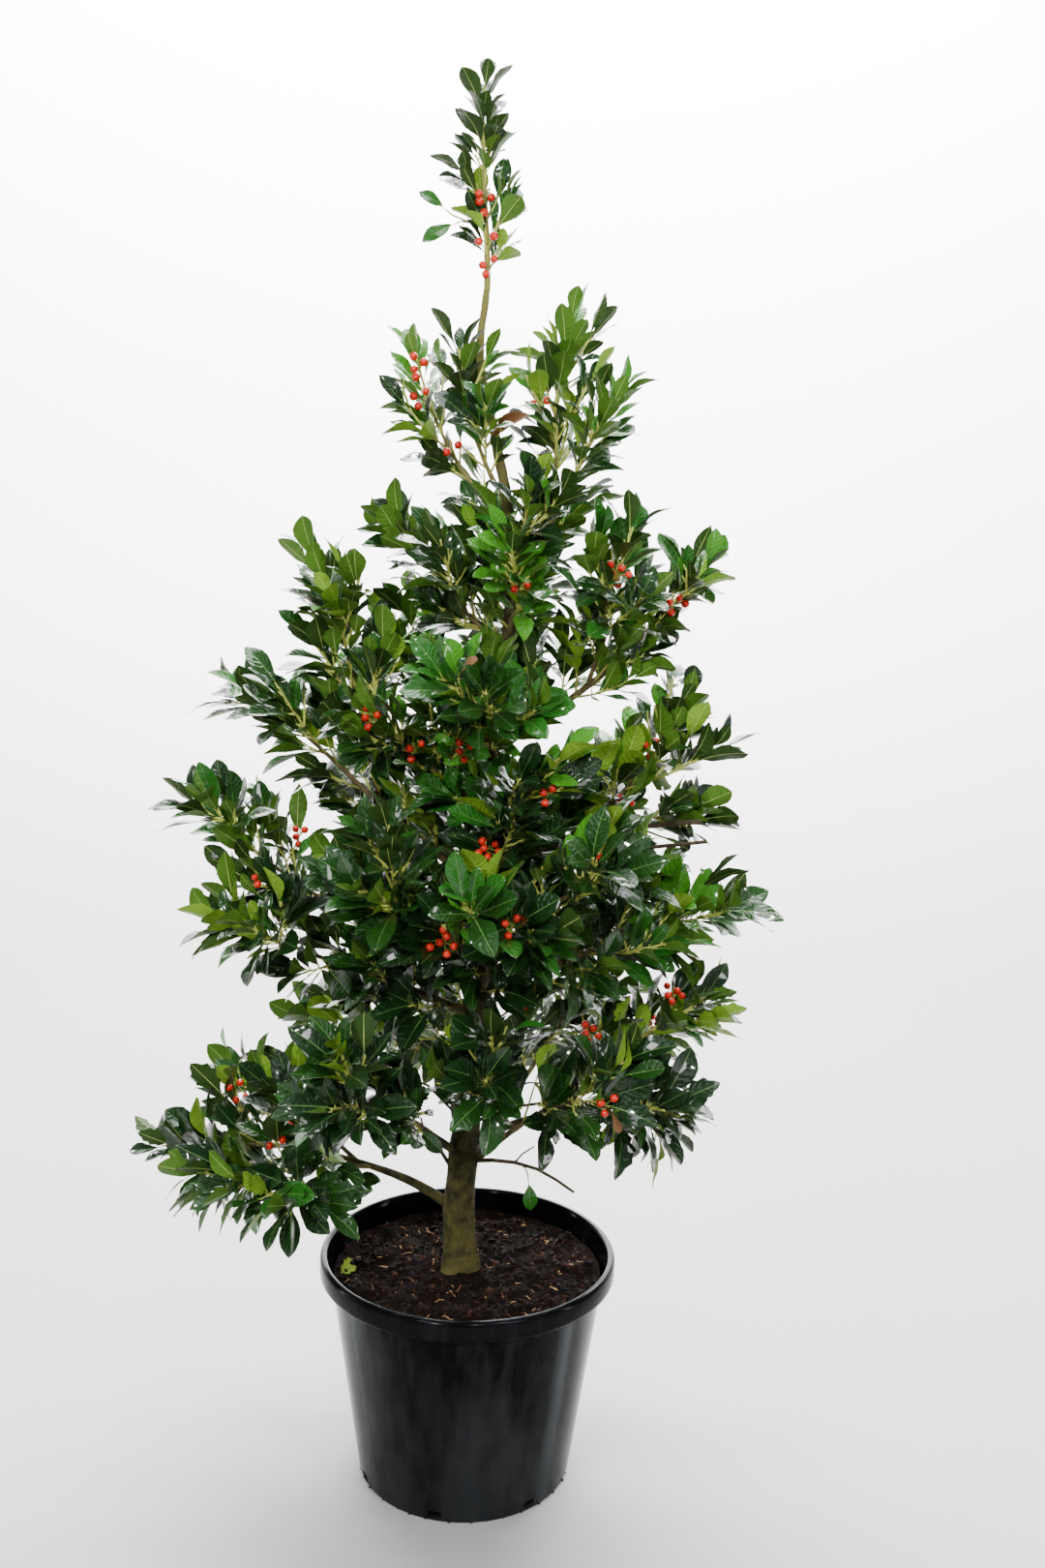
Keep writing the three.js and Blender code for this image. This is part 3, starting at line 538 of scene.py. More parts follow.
class Skeleton:
    """The trunk, the boughs and the stems of the masses, and the space that each mass may grow into."""

    def __init__(self) -> None:
        """Works out every limb and stem."""
        self.limbs: list[Limb] = [self.trunk()]
        self.masses: list[Mass] = []
        for number, spec in enumerate(BOUGHS):
            self.add_bough(spec, Chance(Purpose.BOUGH, number))
        for number, spec in enumerate(TRUNK_MASSES):
            run = self.run_from_trunk(spec, Chance(Purpose.SIDE, number))
            self.add_mass(spec.name, run, 0, LIMB.side)
        tip = np.array((LEADER_LEAN, 0, LEADER_HEIGHT))
        self.add_mass("leader", Run(trunk_at(LEADER_START)[0], UP, tip, UP, 0), 0, LIMB.leader, True)
        chains = [limb.chain for limb in self.limbs]
        self.limb_spans, self.stem_spans = Spans(chains), Spans([mass.stem for mass in self.masses])
        self.limb_radii = np.concatenate([np.stack((c.radii[:-1], c.radii[1:]), 1) for c in chains])
        self.limb_firsts = np.cumsum(self.limb_spans.counts) - self.limb_spans.counts
        self.stem_owners = np.repeat(np.arange(len(self.masses)), self.stem_spans.counts)

    @staticmethod
    def trunk() -> Limb:
        """Returns the trunk as a chain of rings."""
        shares = (np.arange(17) / 16) ** 1.2
        heights = mix(TRUNK[0, 0], TRUNK[-1, 0], shares)
        middles, radii = zip(*(trunk_at(height) for height in heights))
        slopes = [unit(trunk_at(height + 1)[0] - trunk_at(height - 1)[0]) for height in heights]
        return Limb("trunk", Chain(np.array(middles), np.array([UP, *slopes[1:]]), np.array(radii)))

    @staticmethod
    def run_from_trunk(spec: Reach, chance: Chance) -> Run:
        """Returns the run from the trunk to a bough's or a side stem's tip."""
        start = trunk_at(spec.start)[0]
        end = around(spec.azimuth, spec.reach, spec.height)
        azimuth = math.degrees(math.atan2(end[1] - start[1], end[0] - start[0]))
        leaving, arriving = heading(azimuth, spec.leave), heading(azimuth, spec.arrive)
        return Run(start, leaving, end, arriving, chance(0, 2 * pi))

    def add_mass(self, name: str, run: Run, start: float, foot: float, at_tip: bool = False) -> None:
        """Adds a mass whose stem is the rest of a run."""
        gap = GAP / run.length if at_tip else 0
        steps = max(LIMB.stem_steps, nearest_whole(run.length * (1 - start) / LIMB.stem_step))
        stem = Chain.along(run, start + gap, 1, steps, foot * THREE_SIDED, LIMB.tip * THREE_SIDED)
        self.masses.append(Mass(name, run, start, foot, stem))

    def add_bough(self, spec: Reach, chance: Chance) -> None:
        """Adds a bough, the mass that grows on from its tip, and the masses that fork from it."""
        run = self.run_from_trunk(spec, chance)
        foot = min(LIMB.foot + spec.reach * LIMB.by_reach, trunk_at(spec.start)[1] * LIMB.most_of_trunk)
        chain = Chain.along(run, 0, spec.share, LIMB.rings, foot, LIMB.split)
        self.limbs.append(Limb(f"bough_{spec.name}", chain, run, spec.share))
        self.add_mass(spec.name, run, spec.share, LIMB.split, True)
        for i, fork in enumerate(spec.forks):
            at = spec.share - LIMB.fork_before * (i + 1) / run.length
            start, end = run.at(at), around(fork.azimuth, fork.reach, fork.height)
            leaving = unit(end - start) + run.slope(at) * LIMB.fork_along + UP * LIMB.fork_rise
            arriving = heading(fork.azimuth, fork.arrive)
            branch = Run(start, unit(leaving), end, arriving, chance(0, 2 * pi))
            self.add_mass(fork.name, branch, 0, LIMB.fork)

    def is_free(self, points: Array, owner: int | None, limb_margin: float) -> bool:
        """Tells whether points lie in a mass's own space, clear of the pot and of every limb.

        Args:
            points: The points, in millimetres.
            owner: The mass's number, or None where any mass's space will do.
            limb_margin: How far the points keep from the limbs' surfaces.

        Returns:
            True if every point is free.
        """
        beside = np.hypot(points[:, 0], points[:, 1])
        if any(((beside < radius) & (points[:, 2] < height)).any() for radius, height in BARE_SPACES):
            return False
        if owner is not None:
            far, _ = self.stem_spans.distances(points)
            own = self.stem_owners == owner
            if (far[:, ~own].min(1) <= far[:, own].min(1) + LEAF.margin).any():
                return False
        far, share = self.limb_spans.distances(points)
        closest = np.minimum.reduceat(far, self.limb_firsts, axis=1)
        thickness = self.limb_radii[:, 0] + (self.limb_radii[:, 1] - self.limb_radii[:, 0]) * share
        nearest = far == np.repeat(closest, self.limb_spans.counts, axis=1)
        return not (nearest & (far < thickness + limb_margin)).any()


# ---- foliage by the seeded rule


@dataclass
class Twig:
    """A twig as it grew: its curve, its rings for what sits on it, and how old its wood is."""

    axis: Stretch | Arc
    chain: Chain
    chance: Chance
    leafy_from: float = 0.3
    order: int = 1
    roams: bool = False


class Tint(Enum):
    """The shades that a spray's leaves come in."""

    DEEP = 0
    DARK = 1
    BOTTLE = 2
    FRESH = 3
    DEAD = 4


@dataclass
class LeafPlace:
    """Where one leaf sits: its root, the three directions of its blade, and its length."""

    root: Array
    ahead: Array
    face: Array
    length: float
    tint: Tint
    pale: int
    pick: float


@dataclass
class BerryPlace:
    """Where one berry hangs: the foot of its stalk, its middle and its radius."""

    foot: Array
    middle: Array
    radius: float


def leaf_share(height: float) -> float:
    """Returns how far up the zone of ever smaller leaves a height lies, from 0 to 1."""
    return climb(height, *LEAF.small_heights)


class Crowd:
    """Points that things already fill, kept by small cells so that a close one is found quickly."""

    CELL = 10

    def __init__(self) -> None:
        """Starts empty."""
        self.cells: dict[tuple[int, int, int], list[Triple]] = {}

    def add(self, points: Array) -> None:
        """Fills the points."""
        for x, y, z in points.tolist():
            cell = (int(x // self.CELL), int(y // self.CELL), int(z // self.CELL))
            self.cells.setdefault(cell, []).append((x, y, z))

    def is_near(self, points: Array, distance: float) -> bool:
        """Tells whether any point has a filled one within a distance, which is at most a cell's side."""
        limit = distance * distance
        for x, y, z in points.tolist():
            i, j, k = int(x // self.CELL), int(y // self.CELL), int(z // self.CELL)
            for cell in ((i + a, j + b, k + c) for a in (-1, 0, 1) for b in (-1, 0, 1) for c in (-1, 0, 1)):
                for u, v, w in self.cells.get(cell, ()):
                    if (u - x) ** 2 + (v - y) ** 2 + (w - z) ** 2 < limit:
                        return True
        return False


class Growth:
    """Grows one mass: shoots on its stem, finer twigs on those, and their leaves and berries."""

    # Shares along a leaf and its half widths there, where it must be free, and how far its tip droops.
    BLADE = ((0.35, 0.12), (0.55, 0.18), (0.75, 0.15), (0.98, 0.0))
    DROOP = 0.1

    def __init__(self, skeleton: Skeleton, number: int, blades: Crowd, wood: Crowd) -> None:
        """Grows the mass's wood.

        Args:
            skeleton: The trunk, the boughs and every mass's stem.
            number: The mass's number.
            blades: The places that leaves and berries already fill, over the whole crown.
            wood: The places that twigs fill, over the whole crown.
        """
        self.skeleton, self.number, self.blades, self.wood = skeleton, number, blades, wood
        self.mass = skeleton.masses[number]
        self.leaves: list[LeafPlace] = []
        start = mix(self.mass.start, 1, STEM_LEAFY_FROM)
        end = 1 + STEM_ONWARD.get(self.mass.name, 0.0) / self.mass.run.length
        self.stem = Twig(
            Stretch(self.mass.run, start, end), self.mass.stem, Chance(Purpose.STEM, number), 0, 0)
        parent = self.mass.axis, self.mass.stem
        shoots = self.side_twigs(*parent, SHOOT, 360 * Chance(Purpose.SHOOTS, number)())
        sprigs = []
        for i, shoot in enumerate(shoots):
            self.lengthen(shoot)
            sprigs += self.side_twigs(shoot.axis, shoot.chain, SPRIG, 360 * shoot.chance(), i)
        spurs = self.side_twigs(*parent, SPUR, 360 * Chance(Purpose.SPUR, number, 0)())
        self.twigs: list[Twig] = [*shoots, *sprigs, *spurs]
        for twig in (self.stem, *self.twigs):
            self.fill_wood(twig)

    def fill_wood(self, twig: Twig) -> None:
        """Marks the places along a twig as filled."""
        self.wood.add(twig.axis.at(np.linspace(0, 1, int(twig.axis.length / WOOD_STEP) + 2)))

    def side_twigs(
        self, axis: Stretch | Arc, parent: Chain, sizes: TwigSizes, turn: float, *keys: int,
        roams: bool = False,
    ) -> list[Twig]:
        """Returns the twigs that leave one parent, turned round it by the golden angle.

        Args:
            axis: The parent's curve.
            parent: The parent's rings.
            sizes: How twigs of this order grow.
            turn: Where round the parent the first one leaves, in degrees.
            *keys: More keys of their stream of chance.
            roams: True where the twigs may reach into other masses' spaces.

        Returns:
            The twigs that found room.
        """
        made = []
        closer = 1 if sizes is SHOOT else mix(1, LEAF.twig_close, leaf_share(axis.at(1)[2]))
        count = nearest_whole(axis.length / (sizes.spacing * closer))
        for i in range(count):
            chance = Chance(sizes.purpose, self.number, *keys, i)
            t = mix(sizes.start, sizes.end, (i + sizes.stagger * chance()) / count)
            ahead = axis.slope(t)
            side = sideways(ahead, radians(turn + i * GOLDEN_ANGLE), sizes.over_share, sizes.over_rise)
            opening = sizes.opening + sizes.opening_chance * (chance() - 0.5)
            direction = opened(ahead, side, radians(opening * opening_on(ahead)))
            small = mix(1, LEAF.rule_small, leaf_share(axis.at(t)[2]))
            full = sizes.length * min(1, axis.length / sizes.full_parent) * small
            grown = full * (1 - sizes.shortening * t) * mix(sizes.least, sizes.most, chance())
            foot = parent.on_side(t, direction) - direction * sizes.sunk
            lift = mix(sizes.low_lift, sizes.lift, climb(foot[2], *LIFT_HEIGHTS))
            arc = Arc(foot, direction, grown, lift)
            while not self.fits(arc, roams) and arc.length > sizes.shortest:
                arc = Arc(foot, direction, arc.length * PULLED_BACK, arc.lift)
            if arc.length <= sizes.shortest:
                continue
            chain = Chain.along(arc, 0, 1, 2, sizes.radius * THREE_SIDED, sizes.tip * THREE_SIDED)
            chain.radii[0] = sizes.foot * THREE_SIDED
            made.append(Twig(arc, chain, chance, order=1 if sizes is SHOOT else 2, roams=roams))
        return made

    def fits(self, arc: Arc, roams: bool) -> bool:
        """Tells whether a twig keeps to its mass's space, or to free space where it roams."""
        points = arc.at(TESTED)
        if not self.skeleton.is_free(points, None if roams else self.number, LEAF.twig_margin):
            return False
        return not roams or not self.blades.is_near(points, LEAF.roaming_margin)

    def lengthen(self, twig: Twig) -> None:
        """Lets a shoot grow on a little past the length that its large-leaved form has, if there is room."""
        arc = twig.axis
        longer = Arc(arc.foot, arc.direction, arc.length * (1 + SHOOT_ONWARD), arc.lift)
        if self.fits(longer, False):
            twig.axis = longer

    def fill_in(self) -> None:
        """Grows leafy sprigs on the bough itself, wherever the crown has room for them."""
        mass = self.mass
        if mass.run.controls[0][2] < FILLED_FROM or mass.name in OPEN_MASSES:
            return
        end = mass.start or STEM_LEAFY_FROM
        bough = Chain.along(mass.run, 0, end, 6, mass.foot * 2, mass.foot)
        turn = 360 * Chance(Purpose.BOUGH_SPRIG, self.number, 0)()
        for sprig in self.side_twigs(Stretch(mass.run, 0, end), bough, BOUGH_SPRIG, turn, roams=True):
            self.fill_wood(sprig)
            self.twigs.append(sprig)
            self.bear_leaves(sprig)

    def bear_leaves(self, twig: Twig) -> None:
        """Sets leaves along a twig's outer part and in a rosette at its tip."""
        chance, axis = twig.chance, twig.axis
        leafy = axis.length * (1 - twig.leafy_from)
        spacing = LEAF.spacing * mix(1, LEAF.close, leaf_share(axis.at(1)[2]))
        count = LEAF.at_tip + nearest_whole(leafy / spacing)
        first = chance(0, 360)
        tint, pale = self.spray_tint(chance, axis.at(1)[2]), self.spray_pale(chance, twig)
        for i in range(count):
            share = i / (count - 1)
            t = mix(twig.leafy_from, 1, share**0.85)
            foot, ahead = axis.at(t), axis.slope(t)
            level = unit(np.cross(ahead, UP))
            opening = mix(LEAF.spread_low, LEAF.spread_tip, share) + LEAF.spread_chance * (chance() - 0.5)
            spread = radians(opening * opening_on(ahead))
            size = LEAF.length * mix(1, LEAF.small, leaf_share(foot[2]))
            size *= mix(1, LEAF.tip_size, share) * chance(LEAF.least, LEAF.most)
            tilt, pick, upright = chance(-0.6, 0.6), chance(), clamp(ahead[2]) ** 2
            rise = mix(*LEAF.rise, climb(foot[2], *LIFT_HEIGHTS))
            for attempt in range(LEAF.attempts):
                roll = radians(first + i * GOLDEN_ANGLE + attempt * LEAF.attempt_turn)
                out = sideways(ahead, roll, LEAF.over_share)
                direction = unit(opened(ahead, out, spread) + UP * rise * (1 - clamp(abs(ahead[2]))))
                face = unit(foot * (1, 1, 0)) * LEAF.outward * (1 - upright) + UP * LEAF.upward + level * tilt
                face += ahead * mix(LEAF.along, LEAF.along_upright, upright)
                face = squared(face, direction)
                reach = twig.chain.radii.mean() / THREE_SIDED - LEAF.sunk
                place = LeafPlace(foot + unit(out) * reach, direction, face, size, tint, pale, pick)
                if self.claim(place, twig.roams):
                    self.leaves.append(place)
                    break

    @staticmethod
    def spray_tint(chance: Chance, height: float) -> Tint:
        """Returns the tint of one spray's upper sides at random, shifted by painted light towards lighter
        tints over the crown's middle and by painted shade towards darker tints on the lowest boughs."""
        # Painted light: how far the spray sits in the lit band over the crown's middle.
        fresh = climb(height, *LEAF.painted_light_heights) * climb(height, *LEAF.painted_light_ends)
        value = chance() + LEAF.painted_light_share * fresh - LEAF.painted_shade_share * climb(height, *LEAF.painted_shade_heights)
        return Tint(sum(value >= limit for limit in LEAF.tints))

    @staticmethod
    def spray_pale(chance: Chance, twig: Twig) -> int:
        """Returns how pale a spray's undersides are, from 0 to 2: a young spray's are the palest."""
        value = chance() + LEAF.order_pale * twig.order
        return sum(value >= limit for limit in LEAF.pales)

    def claim(self, place: LeafPlace, roams: bool) -> bool:
        """Takes a leaf's place if its blade keeps to its space and apart from other leaves and twigs."""
        across = np.cross(place.face, place.ahead) * place.length
        ahead, face = place.ahead * place.length, place.face * place.length
        points = np.array([
            place.root + ahead * v - face * self.DROOP * v * v + across * half * side
            for v, half in self.BLADE for side in (-1, 0, 1)])
        if self.blades.is_near(points, LEAF.apart) or self.wood.is_near(points, LEAF.twig_apart):
            return False
        if not self.skeleton.is_free(points, None if roams else self.number, LEAF.limb_margin):
            return False
        self.blades.add(points)
        return True


# Berry clusters as seen from the front: beside the trunk, and height, in the trunk's plane, and a count.
FRONT_CLUSTERS = (
    (-4, 1701, 4), (-12, 1664, 2), (-14, 1628, 3), (-100, 1498, 4), (-90, 1462, 3), (-43, 1397, 2),
    (66, 1460, 2), (172, 1252, 5), (243, 1220, 5), (48, 1222, 2), (-235, 1180, 4), (-135, 1079, 4),
    (-76, 1012, 3), (-15, 1018, 4), (96, 940, 4), (12, 887, 7), (42, 812, 4), (-34, 757, 8), (-95, 702, 5),
    (42, 672, 6), (139, 622, 7), (238, 700, 5), (219, 540, 3), (-270, 458, 2), (-285, 850, 3),
    (-222, 905, 4), (220, 1030, 4), (194, 958, 4), (190, 890, 3), (-310, 575, 3),
)


@dataclass(frozen=True)
class BareTwig:
    """A leafless twig by the points that it bends at, its radius at both ends, and the length of the one
    leaf that hangs from its tip, if any does."""

    points: tuple[Triple, ...]
    foot: float = 2
    tip: float = 1.2
    leaf: float = 0

    def chain(self) -> Chain:
        """Returns the twig's rings."""
        points = np.array(self.points, float)
        slopes = unit(np.gradient(points, axis=0))
        return Chain(points, slopes, np.linspace(self.foot, self.tip, len(points)))


BARE_TWIGS = [BareTwig(*row) for row in (
    (((4, -6, 452), (31, -14, 457), (62, -22, 458), (92, -30, 453), (118, -36, 441), (143, -42, 426)),
     3, 1.8),
    (((62, -22, 458), (72, -30, 474), (88, -36, 488)), 1.5, 1),
    (((70, -24, 457), (76, -32, 455), (80, -38, 448), (81, -39, 441)), 1.2, 0.9, 46),
    (((-4, -2, 1676), (-24, -8, 1679), (-44, -12, 1686), (-52, -14, 1692)), 1.5, 0.9, 38),
    (((-20, -7, 1678), (-32, -18, 1678), (-40, -24, 1674)), 1.1, 0.9, 46),
    (((96, 0, 900), (165, -22, 922), (230, -34, 932), (291, -44, 941)), 4, 3.2),
    (((90, 0, 896), (150, -40, 906), (215, -62, 908), (296, -78, 922)), 3.6, 2.6),
    (((2, 8, 500), (48, 18, 520), (97, 26, 525), (142, 30, 528)), 2.6, 1.6),
    (((-28, -6, 446), (-50, -12, 486), (-78, -18, 502), (-104, -22, 512)), 2.8, 1.8),
    (((-50, -12, 486), (-62, -20, 500), (-66, -30, 522)), 2, 1.2),
    (((-26, 6, 520), (-60, 22, 548), (-96, 36, 556), (-128, 44, 574)), 1.9),
    (((8, -12, 560), (40, -38, 566), (78, -52, 584), (104, -70, 590)), 1.8),
    (((-18, -12, 600), (-52, -34, 618), (-82, -46, 648)), 1.8),
    (((22, 10, 640), (58, 34, 662), (90, 44, 694)), 1.8),
    (((0, 14, 480), (14, 56, 506), (22, 96, 512), (40, 128, 530)), 1.9),
    (((-14, 14, 610), (-26, 54, 634), (-44, 86, 642)), 1.7),
    (((26, -10, 760), (62, -30, 776), (86, -52, 800)), 1.6),
    (((-4, -10, 790), (-34, -34, 806), (-66, -44, 836)), 1.6),
    (((30, 12, 860), (64, 38, 880), (84, 48, 912)), 1.5),
)]


# Where withered leaves show from the front: beside the trunk, and height, in the trunk's plane.
WITHERED = ((22, 1428), (206, 536), (-30, 1120))

# Parts of the masses' runs that no leaf hides from the front, by shares of the run.
OPEN_VIEWS = (
    ("high_left", 0.22, 0.8), ("mid_right", 0.45, 0.75), ("high_right", 0.15, 0.42), ("mid_left", 0.3, 0.45),
)


class Crown:
    """All masses of foliage, grown together so that nothing in them crosses."""

    BERRY_RADIUS = (4.6, 5.5)
    STALK = (7, 13)
    CLEARED = (10, 22, 34, 46)
    SCATTERED = 16
    EYE = np.array((59.6, -2048.5, 1344.6))
    CARRIER_REACH = 34
    VIEW_STEP = 8
    VIEW_CLEARED = np.arange(14, 110, 9)
    BEHIND = 40
    BERRY_RISE = 0.9
    BERRY_AHEAD = 0.8
    BERRY_SPREAD = 1.5
    CLUSTER_GROWTH = 3.2
    BARE_LEAF_FACE = np.array((0, -1, 0.5))

    def __init__(self, skeleton: Skeleton) -> None:
        """Grows the wood, then the fruit, then the leaves, and last the sprigs that fill the boughs."""
        self.blades, self.wood = Crowd(), Crowd()
        self.growths = [Growth(skeleton, i, self.blades, self.wood) for i in range(len(skeleton.masses))]
        self.berries: list[BerryPlace] = []
        for bare in BARE_TWIGS:
            self.wood.add(np.linspace(bare.points[:-1], bare.points[1:], 8).reshape(-1, 3))
        for name, start, end in OPEN_VIEWS:
            run = next(mass.run for mass in skeleton.masses if mass.name == name)
            for point in run.at(np.linspace(start, end, int(run.length * (end - start) / self.VIEW_STEP))):
                self.blades.add(point + unit(self.EYE - point) * self.VIEW_CLEARED[:, None])
        axes = [twig.axis for growth in self.growths for twig in (growth.stem, *growth.twigs)]
        stems = [g.mass.run.at(np.linspace(mix(g.mass.start, 1, 0.05), 1, 12)) for g in self.growths]
        self.places = np.concatenate([*stems, *(axis.at(np.linspace(0.1, 0.8, 8)) for axis in axes)])
        self.bear_fruit()
        for growth in self.growths:
            for twig in (growth.stem, *growth.twigs):
                growth.bear_leaves(twig)
        for growth in self.growths:
            growth.fill_in()
        for bare in BARE_TWIGS:
            if bare.leaf:
                before, root = np.array(bare.points[-2:], float)
                ahead = unit(root - before)
                face = squared(self.BARE_LEAF_FACE, ahead)
                nearest = min(self.growths, key=lambda g: np.linalg.norm(g.mass.run.controls[3] - root))
                nearest.leaves.append(LeafPlace(root, ahead, face, bare.leaf, Tint.BOTTLE, 1, 0.92))
        self.wither()
        leaves = sum(len(growth.leaves) for growth in self.growths)
        twigs = sum(len(growth.twigs) for growth in self.growths)
        LOG.info("%d twigs, %d leaves, %d berries", twigs, leaves, len(self.berries))

    def wither(self) -> None:
        """Turns the leaves that show at a few places from the front brown."""
        leaves = [leaf for growth in self.growths for leaf in growth.leaves]
        middles = np.array([leaf.root + leaf.ahead * leaf.length * 0.5 for leaf in leaves])
        for beside, height in WITHERED:
            _, along, off = self.sighted(middles, beside, height)
            leaves[int(np.argmin(along + 12 * off))].tint = Tint.DEAD

    def sighted(self, points: Array, beside: float, height: float) -> tuple[Array, Array, Array]:
        """Returns the sight line through a place in the trunk's plane, how far along it each point lies and
        how far off it."""
        line = unit(np.array((beside, 0, height)) - self.EYE)
        along = (points - self.EYE) @ line
        return line, along, np.linalg.norm(points - self.EYE - along[:, None] * line, axis=1)

    def bear_fruit(self) -> None:
        """Hangs the clusters that show from the front, and scatters others round the back and the sides."""
        for number, (beside, height, count) in enumerate(FRONT_CLUSTERS):
            line, along, off = self.sighted(self.places, beside, height)
            near = off < self.CARRIER_REACH
            if near.any():
                foot = self.places[np.argmin(np.where(near, along + 3 * off, np.inf))]
                self.hang(foot, -line, count, Chance(Purpose.FRUIT, number))
        chance = Chance(Purpose.FRUIT, len(FRONT_CLUSTERS))
        behind = self.places[self.places[:, 1] > self.BEHIND]
        for number in range(self.SCATTERED):
            foot = behind[int(chance() * len(behind))]
            out = unit(foot * (1, 1, 0) + UP * 20)
            self.hang(foot, out, 2 + int(chance(0, 5)), Chance(Purpose.FRUIT, len(FRONT_CLUSTERS), number))

    def hang(self, foot: Array, out: Array, count: int, chance: Chance) -> None:
        """Hangs one cluster from a twig and keeps the room before it clear of leaves.

        Args:
            foot: The place on the twig.
            out: The way that the cluster shows.
            count: How many berries it has.
            chance: The stream that shapes it.
        """
        level = unit(np.cross(out, UP))
        over = np.cross(level, out)
        for i in range(count):
            angle = radians(i * GOLDEN_ANGLE) + chance(-0.3, 0.3)
            spread = sqrt((i + 0.5) / count)
            away = level * cos(angle) + over * sin(angle) * self.BERRY_RISE
            direction = unit(out * self.BERRY_AHEAD + away * spread * self.BERRY_SPREAD)
            stalk = chance(*self.STALK) + self.CLUSTER_GROWTH * spread * sqrt(count)
            middle = foot + direction * stalk
            if self.blades.is_near(middle[None], 2 * self.BERRY_RADIUS[0]):
                continue
            self.berries.append(BerryPlace(foot, middle, chance(*self.BERRY_RADIUS)))
            self.blades.add(np.array([middle, *(middle + out * far for far in self.CLEARED)]))


# ---- meshes from arrays


@dataclass
class Shape:
    """A small mesh as arrays: its corners, its faces' corner numbers, their sizes and their finishes."""

    corners: Array
    loops: Array
    sizes: Array
    parts: Array
    marks: Array | None = None

    @classmethod
    def of(cls, corners: Sequence, faces: Sequence[Sequence[int]], parts: Sequence[int]) -> Shape:
        """Returns a shape from plain lists of corners, faces and finishes."""
        return cls(
            np.array(corners, float), np.array([n for face in faces for n in face]),
            np.array([len(face) for face in faces]), np.array(parts))

    @classmethod
    def tube(cls, chain: Chain, sides: int, part: int = 0) -> Shape:
        """Returns a closed tube through a chain's rings."""
        count = len(chain.points)
        lower = np.arange((count - 1) * sides).reshape(count - 1, sides)
        after = np.roll(lower, -1, axis=1)
        walls = np.stack((lower, after, after + sides, lower + sides), -1).reshape(-1, 4)
        ends = (np.arange(sides)[::-1], (count - 1) * sides + np.arange(sides))
        return cls(
            chain.rings(sides).reshape(-1, 3), np.concatenate((walls.ravel(), *ends)),
            np.array([4] * len(walls) + [sides, sides]), np.full(len(walls) + 2, part))


class Joined:
    """Gathers many small shapes into one mesh."""

    def __init__(self) -> None:
        """Starts with nothing gathered."""
        self.gathered: list[tuple[Array, ...]] = []
        self.marks: list[Array] = []
        self.count = 0

    def add(self, shape: Shape, corners: Array | None = None, parts: Array | None = None) -> None:
        """Adds a shape, with its corners placed and its finishes chosen anew where they are given."""
        corners = shape.corners if corners is None else corners
        parts = shape.parts if parts is None else parts
        self.gathered.append((corners, shape.loops + self.count, shape.sizes, parts))
        if shape.marks is not None:
            self.marks.append(shape.marks[shape.loops])
        self.count += len(corners)

    def make(self, name: str, materials: Sequence[Material], sharp: float) -> Object:
        """Returns the object, in metres, smoothly shaded up to an angle between its faces.

        Args:
            name: The piece's name.
            materials: The materials that the shapes' finishes count through.
            sharp: The angle past which an edge stays sharp, in degrees.

        Returns:
            The object.
        """
        corners, loops, sizes, parts = (np.concatenate(arrays) for arrays in zip(*self.gathered))
        mesh = bpy.data.meshes.new(name)
        mesh.vertices.add(len(corners))
        mesh.vertices.foreach_set("co", (corners * MM).astype(np.float32).ravel())
        mesh.loops.add(len(loops))
        mesh.loops.foreach_set("vertex_index", loops.astype(np.int32))
        mesh.polygons.add(len(sizes))
        mesh.polygons.foreach_set("loop_start", (np.cumsum(sizes) - sizes).astype(np.int32))
        for material in materials:
            mesh.materials.append(material)
        mesh.polygons.foreach_set("material_index", parts.astype(np.int32))
        mesh.update(calc_edges=True)
        if self.marks:
            layer = mesh.uv_layers.new(name="blade")
            layer.data.foreach_set("uv", np.concatenate(self.marks).astype(np.float32).ravel())
        made = bpy.data.objects.new(name, mesh)
        bpy.context.scene.collection.objects.link(made)
        shade_smooth(made, sharp)
        return made


def select_only(chosen: Object) -> None:
    """Selects one object alone and makes it the active one."""
    bpy.ops.object.select_all(action="DESELECT")
    chosen.select_set(True)
    bpy.context.view_layer.objects.active = chosen


def shade_smooth(piece: Object, sharp: float) -> None:
    """Shades a piece smoothly, apart from edges sharper than a number of degrees."""
    select_only(piece)
    bpy.ops.object.shade_smooth_by_angle(angle=radians(sharp))


def start_disc(name: str, segments: int, radius: float, height: float) -> Object:
    """Adds a level disc round the pot's axis and selects it in edit mode."""
    bpy.ops.mesh.primitive_circle_add(
        vertices=segments, radius=radius * MM, fill_type="NGON", location=(0, 0, height * MM))
    disc = bpy.context.object
    disc.name = disc.data.name = name
    bpy.ops.object.transform_apply(location=True)
    bpy.ops.object.mode_set(mode="EDIT")
    bpy.ops.mesh.select_all(action="SELECT")
    return disc


def join(pieces: Sequence[Object]) -> Object:
    """Returns several objects joined as one."""
    select_only(pieces[0])
    for piece in pieces[1:]:
        piece.select_set(True)
    bpy.ops.object.join()
    return bpy.context.object


def settle(piece: Object, slot: str, *nodes: str) -> None:
    """Makes a piece ride with the plant and stand for nodes, and logs its triangles."""
    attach(piece, BODY)
    if nodes:
        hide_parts(*nodes)
    piece.data.calc_loop_triangles()
    LOG.info("%s: %d triangles, for %d nodes", piece.name, len(piece.data.loop_triangles), len(nodes))


# ---- finishes


def linear(code: str) -> tuple[float, float, float, float]:
    """Returns an sRGB hex colour as linear light, with full alpha."""
    parts = (int(code[i : i + 2], 16) / 255 for i in (1, 3, 5))
    red, green, blue = (c / 12.92 if c <= 0.04045 else ((c + 0.055) / 1.055) ** 2.4 for c in parts)
    return red, green, blue, 1.0


